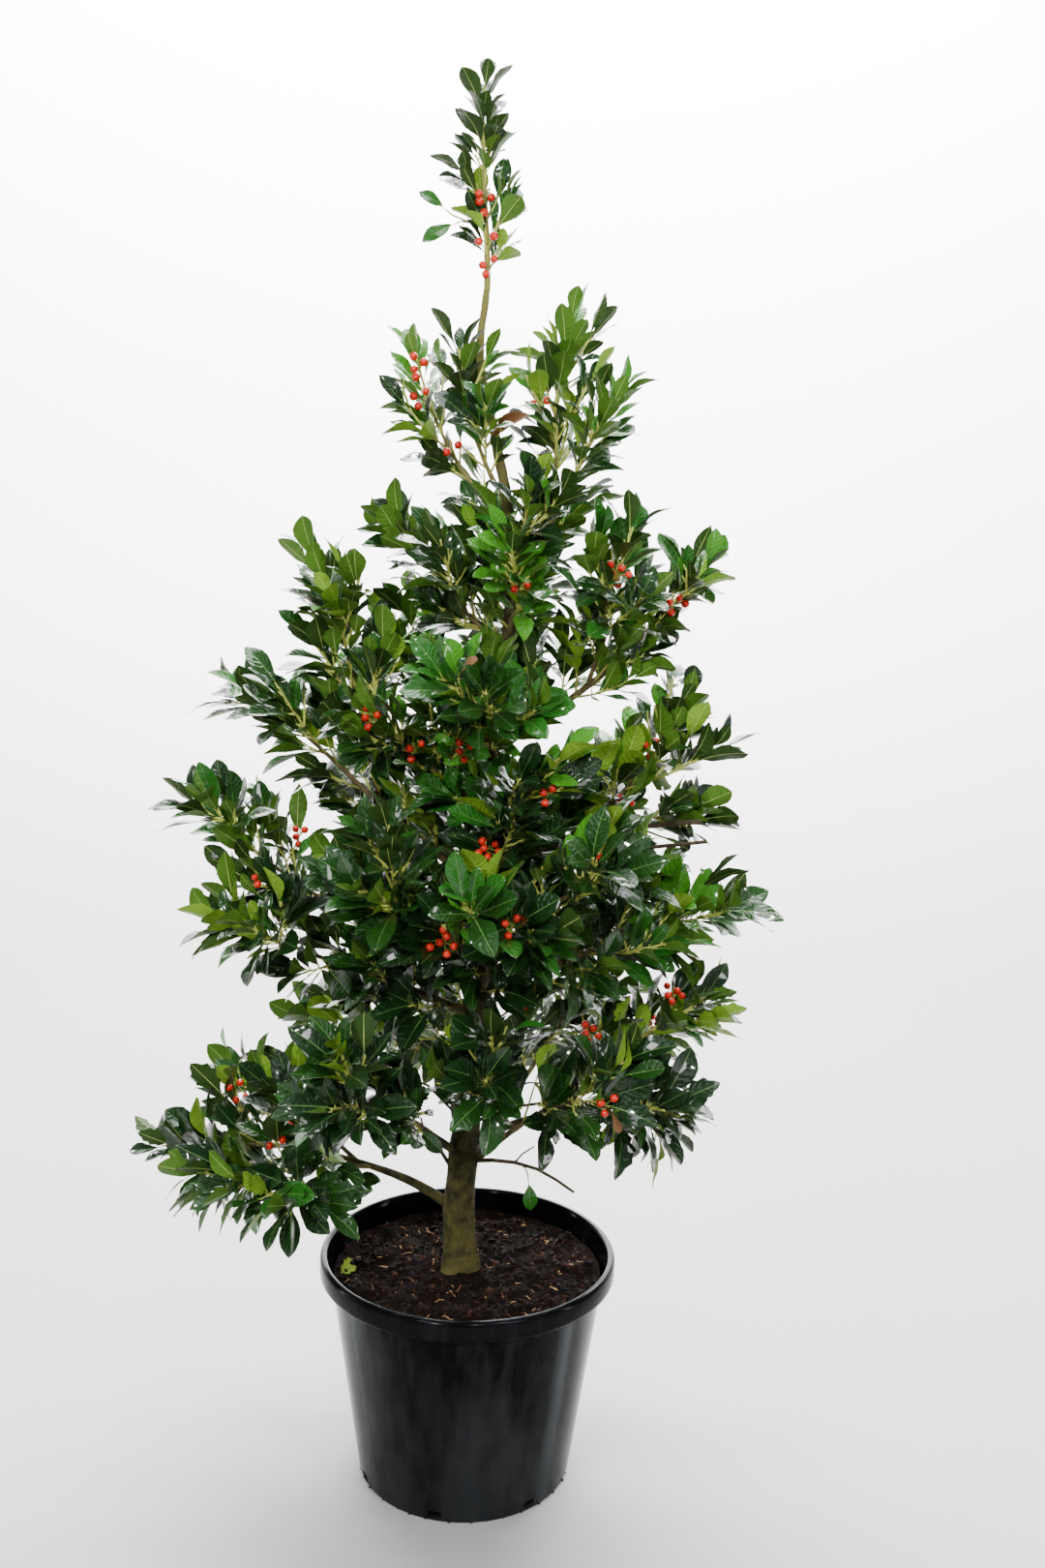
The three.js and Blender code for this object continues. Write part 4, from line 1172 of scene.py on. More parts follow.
class Surface:
    """A new material: its nodes, with the piece's own coordinates, and the shader that they lead to."""

    def __init__(self, name: str) -> None:
        """Starts the material."""
        self.material = bpy.data.materials.new(name)
        self.material.use_nodes = True
        self.nodes = self.material.node_tree.nodes
        self.place = self.add_node("TexCoord").outputs["Object"]

    def feed(self, node: Node, inputs: dict | Sequence) -> None:
        """Sets a node's inputs, by name or in order, to values, to other nodes' outputs, or to the first
        outputs of the nodes given. A range's inputs are its value and both its ranges' ends."""
        for key, value in inputs.items() if isinstance(inputs, dict) else enumerate(inputs):
            if isinstance(value, Node):
                value = next(socket for socket in value.outputs if socket.enabled)
            if isinstance(value, NodeSocket):
                self.material.node_tree.links.new(value, node.inputs[key])
            else:
                node.inputs[key].default_value = value

    def add_node(self, kind: str, inputs: dict | Sequence = (), stops: Sequence = (), **settings) -> Node:
        """Adds a node with its settings, its inputs' values or links, and its colour stops.

        Args:
            kind: The node's type, without the word that all types of shader nodes start with.
            inputs: What its inputs get, as `feed` takes it.
            stops: Pairs of position and hex colour or grey value, for a ramp.
            **settings: The node's own properties.

        Returns:
            The node.
        """
        node = self.nodes.new(f"ShaderNode{kind}")
        for key, value in settings.items():
            setattr(node, key, value)
        self.feed(node, inputs)
        for i, (place, colour) in enumerate(stops):
            elements = node.color_ramp.elements
            element = elements[i] if i < len(elements) else elements.new(place)
            element.position = place
            element.color = linear(colour) if isinstance(colour, str) else (colour, colour, colour, 1)
        return node

    def finish(self, inputs: dict) -> Material:
        """Sets the shader's inputs and returns the material."""
        self.feed(self.nodes["Principled BSDF"], inputs)
        return self.material


@dataclass(frozen=True)
class LeafSkin:
    """A holly leaf's skin. The upper side is a thick wax cuticle, which gives it its wet gloss, and the
    underside is matte. The side veins are sunk in the blade, which swells between them, so that the gloss
    breaks up into a row of glints on both sides of the midrib."""

    name: str
    colour: str
    roughness: float
    coat: float = 0
    relief_mm: float = 0
    sheen: float = 0.16
    veins: float = 7
    vein_slant: float = 1.4
    stray: float = 2.2
    stray_mm: float = 13
    pebble_mm: float = 4.5

    def build(self) -> Material:
        """Returns the material."""
        surface = Surface(self.name)
        inputs = {
            "Base Color": linear(self.colour), "Roughness": self.roughness, "IOR": 1.45,
            "Specular IOR Level": self.sheen, "Coat Weight": self.coat, "Coat Roughness": 0.07}
        if self.relief_mm:
            add, place = surface.add_node, surface.place
            mark = add("SeparateXYZ", (add("UVMap", uv_map="blade"),))
            side = add("Math", (mark.outputs["X"],), operation="ABSOLUTE")
            slant = add("Math", (side, self.vein_slant), operation="MULTIPLY")
            stray = add("TexNoise", {"Vector": place, "Scale": 1 / (self.stray_mm * MM)})
            shift = add("Math", (stray, self.stray), operation="MULTIPLY")
            start = add("Math", (mark.outputs["Y"], self.veins, shift), operation="MULTIPLY_ADD")
            phase = add("Math", (start, slant), operation="SUBTRACT")
            turns = add("Math", (phase, pi), operation="MULTIPLY")
            wave = add("Math", (turns,), operation="SINE")
            swell = add("Math", (wave,), operation="ABSOLUTE")
            pebble = add("TexNoise", {"Vector": place, "Scale": 1 / (self.pebble_mm * MM), "Detail": 1})
            height = add("Math", (pebble, 1.4, swell), operation="MULTIPLY_ADD")
            inputs["Normal"] = add("Bump", {
                "Height": height, "Strength": 0.8, "Distance": self.relief_mm * MM})
        return surface.finish(inputs)


@dataclass(frozen=True)
class Bark:
    """Holly bark. It stays thin and smooth, in olive and grey-brown with paler algae and lichen in
    patches, small corky lenticels, and fine cracks along the limb."""

    name: str
    young: str
    old: str
    patch: str
    green: str
    patch_mm: float = 22
    grain_mm: float = 3.5
    relief_mm: float = 0.8

    def build(self) -> Material:
        """Returns the material."""
        surface = Surface(self.name)
        add, place = surface.add_node, surface.place
        broad = add("TexNoise", {
            "Vector": place, "Scale": 1 / (self.patch_mm * MM), "Detail": 5, "Roughness": 0.6})
        tall = add("Mapping", {"Vector": place, "Scale": (1, 1, 0.22)})
        grain = add("TexNoise", {
            "Vector": tall, "Scale": 1 / (self.grain_mm * MM), "Detail": 6, "Roughness": 0.65})
        blend = add("ValToRGB", (grain,), stops=((0.32, self.old), (0.62, self.young)))
        height = add("SeparateXYZ", (place,)).outputs["Z"]
        fade = add("MapRange", (height, 0.3, 0.56, 0.18, -0.1))
        lifted = add("Math", (broad, fade), operation="ADD")
        where = add("ValToRGB", (lifted,), stops=((0.44, 0), (0.8, 0.85)))
        colour = add("Mix", data_type="RGBA", inputs={"Factor": where, "A": blend, "B": linear(self.patch)})
        youth = add("MapRange", (height, 1.15, 1.6, 0, 0.85))
        greened = add("Mix", data_type="RGBA", inputs={
            "Factor": youth, "A": colour, "B": linear(self.green)})
        bump = add("Bump", {"Height": grain, "Strength": 0.7, "Distance": self.relief_mm * MM})
        return surface.finish({
            "Base Color": greened, "Roughness": 0.82, "Specular IOR Level": 0.15, "Normal": bump})


@dataclass(frozen=True)
class BerrySkin:
    """The skin of a ripe holly berry: tight, smooth and waxy, so each one carries a small bright spot."""

    name: str
    colour: str
    roughness: float = 0.24
    tone_mm: float = 18

    def build(self) -> Material:
        """Returns the material."""
        surface = Surface(self.name)
        add = surface.add_node
        tone = add("TexNoise", {"Vector": surface.place, "Scale": 1 / (self.tone_mm * MM)})
        shift = add("MapRange", (tone, 0.35, 0.65, 0.82, 1.12))
        colour = add("HueSaturation", {"Color": linear(self.colour), "Value": shift})
        return surface.finish({
            "Base Color": colour, "Roughness": self.roughness, "Specular IOR Level": 0.4})


@dataclass(frozen=True)
class MouldedPolypropylene:
    """Black polypropylene, injection moulded from recycled stock. The polished mould leaves it glossy. Dust
    blotches the black with a blue-grey film at random, and the film is painted paler towards the floor as a
    painted reflection of the floor, with paler upright streaks in it. Two upright strips at fixed places
    round the wall are painted highlights."""

    name: str
    colour: str = "#060607"
    # The film's paler tone, shown where the dust and the painted floor reflection are.
    dust_and_reflection_tone: str = "#1e2022"
    streak: str = "#2a2b2c"
    gloss: float = 0.04
    bloom_mm: float = 70
    streak_mm: float = 24
    texture_mm: float = 1.2
    # Painted highlights: the tone of two upright strips, and where they stand round the wall, by shares of a
    # turn.
    highlight_strip_tone: str = "#4c5154"
    highlight_strips: tuple[Pair, ...] = (
        (0.085, 0), (0.103, 0.5), (0.112, 0.25), (0.135, 0), (0.365, 0), (0.378, 0.45), (0.386, 0.65),
        (0.398, 0))

    def build(self) -> Material:
        """Returns the material."""
        surface = Surface(self.name)
        add, place = surface.add_node, surface.place
        tall = add("Mapping", {"Vector": place, "Scale": (1, 1, 0.4)})
        smear = add("TexNoise", {"Vector": tall, "Scale": 1 / (self.bloom_mm * MM), "Detail": 5})
        height = add("SeparateXYZ", (place,)).outputs["Z"]
        # Painted reflection of the floor: the film is painted paler towards the floor.
        painted_floor_reflection = add("MapRange", (height, 0.02, 0.26, 0.16, -0.14))
        dust_and_reflection = add("Math", (smear, painted_floor_reflection), operation="ADD")
        film = add("ValToRGB", (dust_and_reflection,), stops=((0.38, self.colour), (0.68, self.dust_and_reflection_tone)))
        upright = add("Mapping", {"Vector": place, "Scale": (1, 1, 0.12)})
        streak_noise = add("TexNoise", {"Vector": upright, "Scale": 1 / (self.streak_mm * MM), "Detail": 3})
        streaks_in_dust_and_reflection = add("Math", (dust_and_reflection, 0.35, streak_noise), operation="MULTIPLY_ADD")
        where = add("ValToRGB", (streaks_in_dust_and_reflection,), stops=((0.62, 0), (1, 0.46)))
        streaked = add("Mix", data_type="RGBA", inputs={"Factor": where, "A": film, "B": linear(self.streak)})
        # Painted highlights: the two strips round the wall, fading towards the foot and kept off the collar.
        round_it = add("TexGradient", {"Vector": place}, gradient_type="RADIAL").outputs["Fac"]
        highlight_strips = add("ValToRGB", (round_it,), stops=self.highlight_strips)
        below = add("MapRange", (height, 0.06, 0.284, 0.35, 1))
        wall = add("Math", (height, 0.287), operation="LESS_THAN")
        held = add("Math", (highlight_strips, below), operation="MULTIPLY")
        highlight_strip_share = add("Math", (held, wall), operation="MULTIPLY")
        colour = add("Mix", data_type="RGBA", inputs={
            "Factor": highlight_strip_share, "A": streaked, "B": linear(self.highlight_strip_tone)})
        rough = add("MapRange", (dust_and_reflection, 0.3, 0.7, 0.1, 0.2))
        fine = add("TexNoise", {"Vector": place, "Scale": 1 / (self.texture_mm * MM)})
        bump = add("Bump", {"Height": fine, "Strength": 0.12, "Distance": 0.04 * MM})
        return surface.finish({
            "Base Color": colour, "Roughness": rough, "IOR": 1.49, "Specular IOR Level": self.gloss,
            "Normal": bump})


@dataclass(frozen=True)
class Peat:
    """Moist peat with composted bark: nearly black, with brown crumbs that stand out where they dry."""

    name: str
    wet: str = "#060403"
    dry: str = "#20130d"
    crumb_mm: float = 3.5

    def build(self) -> Material:
        """Returns the material."""
        surface = Surface(self.name)
        add = surface.add_node
        crumbs = add("TexNoise", {
            "Vector": surface.place, "Scale": 1 / (self.crumb_mm * MM), "Detail": 8, "Roughness": 0.7})
        colour = add("ValToRGB", (crumbs,), stops=((0.4, self.wet), (0.72, self.dry)))
        bump = add("Bump", {"Height": crumbs, "Distance": 2.5 * MM})
        return surface.finish({
            "Base Color": colour, "Roughness": 0.9, "Specular IOR Level": 0.08, "Normal": bump})


@dataclass(frozen=True)
class PlainMatter:
    """A small dull thing such as a bark chip or a root fibre, with a fine grain that breaks its shade."""

    name: str
    colour: str
    roughness: float = 0.85
    grain_mm: float = 2

    def build(self) -> Material:
        """Returns the material."""
        surface = Surface(self.name)
        grain = surface.add_node("TexNoise", {"Vector": surface.place, "Scale": 1 / (self.grain_mm * MM)})
        bump = surface.add_node("Bump", {"Height": grain, "Strength": 0.5, "Distance": 0.3 * MM})
        return surface.finish({
            "Base Color": linear(self.colour), "Roughness": self.roughness, "Specular IOR Level": 0.12,
            "Normal": bump})


# ---- leaves, twigs and berries


class LeafForm(Enum):
    """The outlines that this holly's leaves come in: pairs of share along the blade and half width."""

    ENTIRE = ((0, 0.03), (0.1, 0.24), (0.24, 0.6), (0.42, 0.92), (0.57, 1.02), (0.73, 0.92), (0.87, 0.6),
              (0.95, 0.28), (1, 0.03))
    NARROW = ((0, 0.03), (0.12, 0.22), (0.28, 0.52), (0.46, 0.76), (0.6, 0.79), (0.75, 0.64), (0.88, 0.35),
              (0.95, 0.14), (1, 0.02))
    ROUND = ((0, 0.03), (0.1, 0.18), (0.24, 0.46), (0.42, 0.8), (0.6, 1.03), (0.76, 1), (0.88, 0.72),
             (0.96, 0.36), (1, 0.04))
    SPINY = ((0, 0.03), (0.12, 0.28), (0.27, 0.84), (0.35, 0.7), (0.5, 1.14), (0.58, 0.86), (0.73, 1),
             (0.8, 0.6), (0.91, 0.4), (1, 0.02))


@dataclass(frozen=True)
class LeafModel:
    """One leaf as a thin blade on its stalk, a unit long, with its face up."""

    # The strips between two rows of eight corners: their left and right corners and their finish.
    STRIPS = ((0, 1, 0), (1, 2, 0), (2, 3, 1), (3, 4, 0), (4, 5, 0), (6, 0, 2), (7, 6, 3), (5, 7, 2))

    form: LeafForm
    recurve: float
    fold: float
    wave: float
    turn: float
    half_width: float = 0.215
    stalk: float = 0.12
    stalk_radius: float = 0.017
    rib: float = 0.008
    thickness: float = 0.006
    quilt: float = 0.012

    def shape(self) -> Shape:
        """Returns the leaf, whose finishes are 0 the upper side, 1 its rib, 2 the underside, 3 its rib and
        4 the stalk."""
        corners, marks, faces, parts = [], [], [], []
        for along, width in self.form.value:
            v = self.stalk + (1 - self.stalk) * along
            half = width * self.half_width
            rib = min(self.rib * (1 - 0.7 * along), half * 0.4)
            drop = -self.recurve * along**2
            under = drop - self.thickness * (1 - 0.5 * along)
            blade = [(x * half, v, self.height(x, half, along) + drop) for x in (-1, -0.55, 0.55, 1)]
            corners += [
                *blade[:2], (-rib, v, drop), (rib, v, drop), *blade[2:], (-rib, v, under), (rib, v, under)]
            marks += [(side, along) for side in (-1, -0.55, 0, 0, 0.55, 1, 0, 0)]
        for a in range(0, len(corners) - 8, 8):
            for left, right, part in self.STRIPS:
                quad = a + left, a + right, a + right + 8, a + left + 8
                faces += self.halves(corners, quad, 1 if part < 2 else -1)
                parts += [part] * 2
        self.add_stalk(corners, faces, parts)
        shape = Shape.of(corners, faces, parts)
        shape.marks = np.array(marks + [(0, 0)] * (len(corners) - len(marks)))
        shape.corners[:, 0] += self.turn * shape.corners[:, 1] ** 2
        return shape

    @staticmethod
    def halves(corners: list, quad: tuple[int, int, int, int], side: int) -> list[tuple[int, int, int]]:
        """Returns a face cut along the diagonal that keeps it clear of the blade's other side: the higher
        one over the blade, where side is 1, and the lower one under it, where it is -1."""
        a, b, c, d = quad
        rise = corners[a][2] + corners[c][2] - corners[b][2] - corners[d][2]
        return [(a, b, c), (a, c, d)] if rise * side > 0 else [(b, c, d), (b, d, a)]

    def height(self, side: float, half: float, along: float) -> float:
        """Returns how high the blade is beside its rib: folded up, quilted and waved towards its edge."""
        folded = self.fold * abs(side) * half
        quilted = self.quilt * (1 - abs(2 * abs(side) - 1.1))
        waved = self.wave * side * sin(2 * pi * 1.6 * along + math.copysign(1, side))
        return folded + max(quilted, 0) * sin(pi * along) + waved

    def add_stalk(self, corners: list, faces: list, parts: list) -> None:
        """Adds the leaf's stalk as a thin three-sided rod that runs a little under the blade."""
        first = len(corners)
        for v, size in ((0, 1.5), (self.stalk * 0.5, 1), (self.stalk * 1.15, 0.7)):
            for i in range(3):
                angle = radians(90 + 120 * i)
                radius = self.stalk_radius * size
                corners.append((radius * cos(angle), v, radius * sin(angle) - self.thickness * 0.6))
        for ring in range(2):
            for i in range(3):
                a, b = first + ring * 3 + i, first + ring * 3 + (i + 1) % 3
                faces.append((b, a, a + 3, b + 3))
                parts.append(4)


class Foliage:
    """All masses of foliage as joined twigs, leaves and berries."""

    TWIG_STEP = 11
    NODE = 0.12
    LAP = 4
    STEM_TIP = 0.75
    SWOLLEN_FOOT = 1.35
    OLD_RADIUS = 2.3
    YOUNG_RADIUS = 1.55
    SPINY_BELOW = 760
    SPINY_SHARE = 0.2
    TIERS = (("leaves_low", 0), ("leaves_lower_middle", 700), ("leaves_middle", 890),
             ("leaves_upper", 1000), ("leaves_top", 1200))
    # How leaves bend: their recurve, fold, wave and turn.
    BENDS = ((0.05, 0.32, 0.014, 0.02), (0.13, 0.16, 0.022, -0.06), (0.24, 0.45, 0.016, 0.08),
             (-0.06, 0.28, 0.020, -0.03), (0.30, 0.10, 0.026, 0.04))
    SKINS = (
        *(LeafSkin(f"leaf_cuticle_{tint}", colour, 0.34, 0.5, 0.8) for tint, colour in (
            ("deep", "#0b230a"), ("dark", "#12340c"), ("bottle", "#1c4f13"), ("fresh", "#377318"))),
        LeafSkin("leaf_dead", "#56381d", 0.7), LeafSkin("leaf_rib", "#587b3f", 0.4, 0.2),
        *(LeafSkin(f"leaf_underside_{tint}", colour, 0.5, 0.08, 0.6) for tint, colour in (
            ("olive", "#263c14"), ("green", "#43641e"), ("lime", "#6b8f28"))),
        LeafSkin("leaf_rib_underside", "#a3b566", 0.5), LeafSkin("leaf_stalk", "#b4b95f", 0.5),
    )
    BARKS = (
        Bark("twig_wood", "#5b5133", "#3a3222", "#6d6a3c", "#7d7b42", 14, 2.5, 0.4),
        Bark("twig_olive", "#8b8a46", "#686a33", "#a0a050", "#9fa04e", 16, 2, 0.25),
        Bark("twig_young", "#aeb256", "#8f9643", "#bcbf60", "#b4b85a", 16, 2, 0.15),
        Bark("twig_bare", "#3f3526", "#221b14", "#4c4630", "#6d6a3c", 12, 2.5, 0.4),
    )

    def __init__(self, crown: Crown) -> None:
        """Prepares the leaf models for a grown crown."""
        self.crown, self.growths = crown, crown.growths
        self.models = {
            form: [LeafModel(form, *bends).shape() for bends in self.BENDS] for form in LeafForm}

    def finish_numbers(self, place: LeafPlace) -> Array:
        """Returns which of the leaves' materials each of a leaf's five finishes takes."""
        if place.tint is Tint.DEAD:
            return np.full(5, Tint.DEAD.value)
        return np.array((place.tint.value, 5, 6 + place.pale, 9, 10))

    def form_of(self, place: LeafPlace) -> LeafForm:
        """Returns a leaf's outline: spines are kept for the lower crown."""
        if place.root[2] < self.SPINY_BELOW and place.pick < self.SPINY_SHARE:
            return LeafForm.SPINY
        rest = (place.pick * 7.3) % 1
        if rest < mix(0.22, 0.45, leaf_share(place.root[2])):
            return LeafForm.ROUND
        return LeafForm.NARROW if rest > 0.82 else LeafForm.ENTIRE

    def make_leaves(self) -> None:
        """Makes the leaves of each tier of the crown one piece."""
        finishes = [skin.build() for skin in self.SKINS]
        tops = [height for _, height in self.TIERS[1:]] + [math.inf]
        for (name, bottom), top in zip(self.TIERS, tops):
            joined = Joined()
            tier = [g for g in self.growths if bottom <= g.mass.run.controls[3][2] < top]
            for place in (leaf for growth in tier for leaf in growth.leaves):
                models = self.models[self.form_of(place)]
                shape = models[int(place.pick * 97) % len(models)]
                across = np.cross(place.ahead, place.face)
                turned = shape.corners @ np.array((across, place.ahead, place.face)) * place.length
                joined.add(shape, turned + place.root, self.finish_numbers(place)[shape.parts])
            piece = joined.make(name, finishes, 50)
            settle(piece, "foliage", *(f"foliage_{growth.mass.name}" for growth in tier))

    def twig_shape(self, twig: Chain, sides: int) -> Shape:
        """Returns a twig as a tube whose finishes follow the age of its wood."""
        radii = twig.radii * (1 + self.NODE * (np.arange(len(twig.radii)) % 2))
        shape = Shape.tube(Chain(twig.points, twig.slopes, radii), sides)
        by_ring = np.where(radii > self.OLD_RADIUS, 0, np.where(radii > self.YOUNG_RADIUS, 1, 2))
        shape.parts[: (len(radii) - 1) * sides] = np.repeat(by_ring[:-1], sides)
        shape.parts[-2:] = by_ring[[0, -1]]
        return shape

    def make_twigs(self) -> None:
        """Makes every stem, shoot and finer twig one piece."""
        joined = Joined()
        for growth in self.growths:
            mass = growth.mass
            steps = max(4, int(mass.axis.length / self.TWIG_STEP))
            start = mass.start - self.LAP / mass.run.length if mass.start else 0
            stem = Chain.along(
                mass.run, start, growth.stem.axis.end, steps, mass.foot, LIMB.tip * self.STEM_TIP)
            joined.add(self.twig_shape(stem, 7))
            for twig in growth.twigs:
                first, *_, last = twig.chain.radii / THREE_SIDED
                steps = max(3, int(twig.axis.length / self.TWIG_STEP))
                chain = Chain.along(twig.axis, 0, 1, steps, first * self.SWOLLEN_FOOT, last)
                joined.add(self.twig_shape(chain, 6 if twig.order == 1 else 5))
        for bare in BARE_TWIGS:
            joined.add(Shape.tube(bare.chain(), 6, 3))
        piece = joined.make("twigs", [bark.build() for bark in self.BARKS], 60)
        settle(piece, "bark", *(f"foliage_{growth.mass.name}" for growth in self.growths))

    @staticmethod
    def berry_shape() -> Shape:
        """Returns a berry of radius 1, with the dark scar of its flower at the top."""
        ball = bmesh.new()
        bmesh.ops.create_icosphere(ball, subdivisions=2, radius=1)
        ball.verts.index_update()
        corners = np.array([v.co for v in ball.verts]) * (1, 1, 1.06)
        faces = [[v.index for v in face.verts] for face in ball.faces]
        ball.free()
        parts = [0] * len(faces)
        scar = [(0.22 * cos(i * pi / 3), 0.22 * sin(i * pi / 3), 1.04) for i in range(6)]
        first = len(corners)
        corners = np.concatenate((corners, scar, [(0, 0, 1.1), (0, 0, 0.9)]))
        for a, b in ((first + i, first + (i + 1) % 6) for i in range(6)):
            faces += [(a, b, first + 6), (b, a, first + 7)]
        return Shape.of(corners, faces, parts + [1] * 12)

    def make_berries(self) -> None:
        """Makes all berries with their stalks one piece."""
        joined, shape = Joined(), self.berry_shape()
        for place in self.crown.berries:
            out = unit(place.middle - place.foot)
            turn = np.array(Vector(out).to_track_quat("Z", "Y").to_matrix()).T
            joined.add(shape, shape.corners @ turn * place.radius + place.middle)
            slopes = np.repeat(out[None], 3, axis=0)
            points = place.foot + (place.middle - place.foot) * np.array(((0,), (0.45,), (0.8,)))
            stalk = Chain(points, slopes, np.array((0.7, 0.5, 0.6)))
            joined.add(Shape.tube(stalk, 4, 2))
        finishes = (
            BerrySkin("berry_skin", "#bb1d08"), PlainMatter("berry_scar", "#241009"),
            PlainMatter("berry_stalk", "#7c8a3c"))
        settle(joined.make("berries", [finish.build() for finish in finishes], 60), "foliage")


# ---- trunk and boughs


@dataclass
class Wood:
    """The trunk and the boughs with the relief of their bark."""

    skeleton: Skeleton
    ring_step: float = 4
    trunk_corners: int = 11
    bough_corners: int = 4
    flare_height: float = 30
    flare: float = 0.15
    flare_turn: float = 0.7
    collar: float = 2.6
    collar_reach: float = 15
    ripple: float = 1.3
    ripple_mm: float = 15
    pit: float = 0.5
    pit_mm: float = 4
    bough_relief: float = 0.45
    olive_from: float = 640

    def sweep(self, name: str, points: Array, radii: Array, corners: int) -> Object:
        """Returns a tapering limb swept along points, as a mesh with closed ends.

        Args:
            name: The limb's name.
            points: Its middles, in millimetres.
            radii: Its radii, in millimetres.
            corners: How finely it is rounded; its rings have four times this and four more.

        Returns:
            The limb's object.
        """
        bpy.ops.curve.primitive_bezier_curve_add()
        limb = bpy.context.object
        curve = limb.data
        limb.name = curve.name = name
        curve.splines.clear()
        spline = curve.splines.new("POLY")
        spline.points.add(len(points) - 1)
        spline.points.foreach_set("co", np.column_stack((points * MM, np.ones(len(points)))).ravel())
        spline.points.foreach_set("radius", radii * MM)
        curve.bevel_depth, curve.bevel_resolution, curve.use_fill_caps = 1.0, corners, True
        select_only(limb)
        bpy.ops.object.convert(target="MESH")
        return bpy.context.object

    @staticmethod
    def surface(limb: Object) -> tuple[Array, Array]:
        """Returns the places of a limb's corners, in millimetres, and their normals."""
        corners = limb.data.vertices
        return np.array([v.co for v in corners]) / MM, np.array([v.normal for v in corners])

    @staticmethod
    def reshape(limb: Object, places: Array) -> None:
        """Moves a limb's corners to places in millimetres."""
        limb.data.vertices.foreach_set("co", (places * MM).astype(np.float32).ravel())
        limb.data.update()

    def roughen(self, limb: Object, size: float) -> None:
        """Gives a limb's mesh its ripples, pits and the collars round what leaves it.

        Args:
            limb: The limb's object.
            size: How strong the relief is, against that of the trunk.
        """
        places, normals = self.surface(limb)
        slow, fast = places * (1, 1, 0.4), places * (1, 1, 0.45)
        depth = np.array([
            self.ripple * noise.noise(Vector(a) / self.ripple_mm)
            + self.pit * noise.noise(Vector(b) / self.pit_mm) for a, b in zip(slow, fast)])
        self.reshape(limb, places + normals * (depth * size)[:, None])

    def swell(self, limb: Object) -> None:
        """Flares the trunk's foot and swells it where boughs leave."""
        places, normals = self.surface(limb)
        middle, radius = trunk_at(TRUNK[0, 0])
        angles = np.arctan2(places[:, 1] - middle[1], places[:, 0] - middle[0])
        fall = np.exp(-(places[:, 2] - TRUNK[0, 0]) / self.flare_height)
        push = radius * self.flare * fall * np.cos(3 * angles + self.flare_turn)
        for bough in self.skeleton.limbs[1:]:
            start, ahead = bough.chain.points[0], bough.chain.slopes[0]
            mouth = start + ahead * trunk_at(start[2])[1]
            far = np.linalg.norm(places - mouth, axis=1)
            push += self.collar * np.exp(-((far / self.collar_reach) ** 2))
        self.reshape(limb, places + normals * (1, 1, 0) * push[:, None])

    def finish(self, limb: Object, material: Material) -> None:
        """Gives a limb its bark and smooth shading."""
        limb.data.materials.clear()
        limb.data.materials.append(material)
        shade_smooth(limb, 55)

    def make(self) -> None:
        """Makes the trunk one piece and the boughs another."""
        bark = Bark("holly_bark", "#2c2a18", "#151309", "#524e28", "#6f6a3a").build()
        olive = Bark("bough_bark", "#5c5534", "#332c1d", "#6b6a3a", "#7a7843", 26, 3, 0.6).build()
        heights = np.arange(TRUNK[0, 0], TRUNK[-1, 0] + self.ring_step, self.ring_step)
        heights[-1] = TRUNK[-1, 0]
        middles, radii = zip(*(trunk_at(height) for height in heights))
        trunk = self.sweep("trunk_bark", np.array(middles), np.array(radii), self.trunk_corners)
        self.swell(trunk)
        self.roughen(trunk, 1)
        self.finish(trunk, bark)
        settle(trunk, "bark", "trunk")
        boughs = []
        for limb in self.skeleton.limbs[1:]:
            steps = int(limb.run.length * limb.share / self.ring_step)
            chain = Chain.along(limb.run, 0, limb.share, steps, limb.chain.radii[0], LIMB.split)
            bough = self.sweep(limb.name + "_bark", chain.points, chain.radii, self.bough_corners)
            self.roughen(bough, self.bough_relief)
            self.finish(bough, olive if limb.chain.points[0][2] > self.olive_from else bark)
            boughs.append(bough)
        joined = join(boughs)
        joined.name = joined.data.name = "bough_bark"
        settle(joined, "bark", *(limb.name for limb in self.skeleton.limbs[1:]))


# ---- pot and substrate


# The faces of a lump of eight corners, four on each of two sides.
LUMP_FACES = ((3, 2, 1, 0), (4, 5, 6, 7), (0, 1, 5, 4), (1, 2, 6, 5), (2, 3, 7, 6), (3, 0, 4, 7))


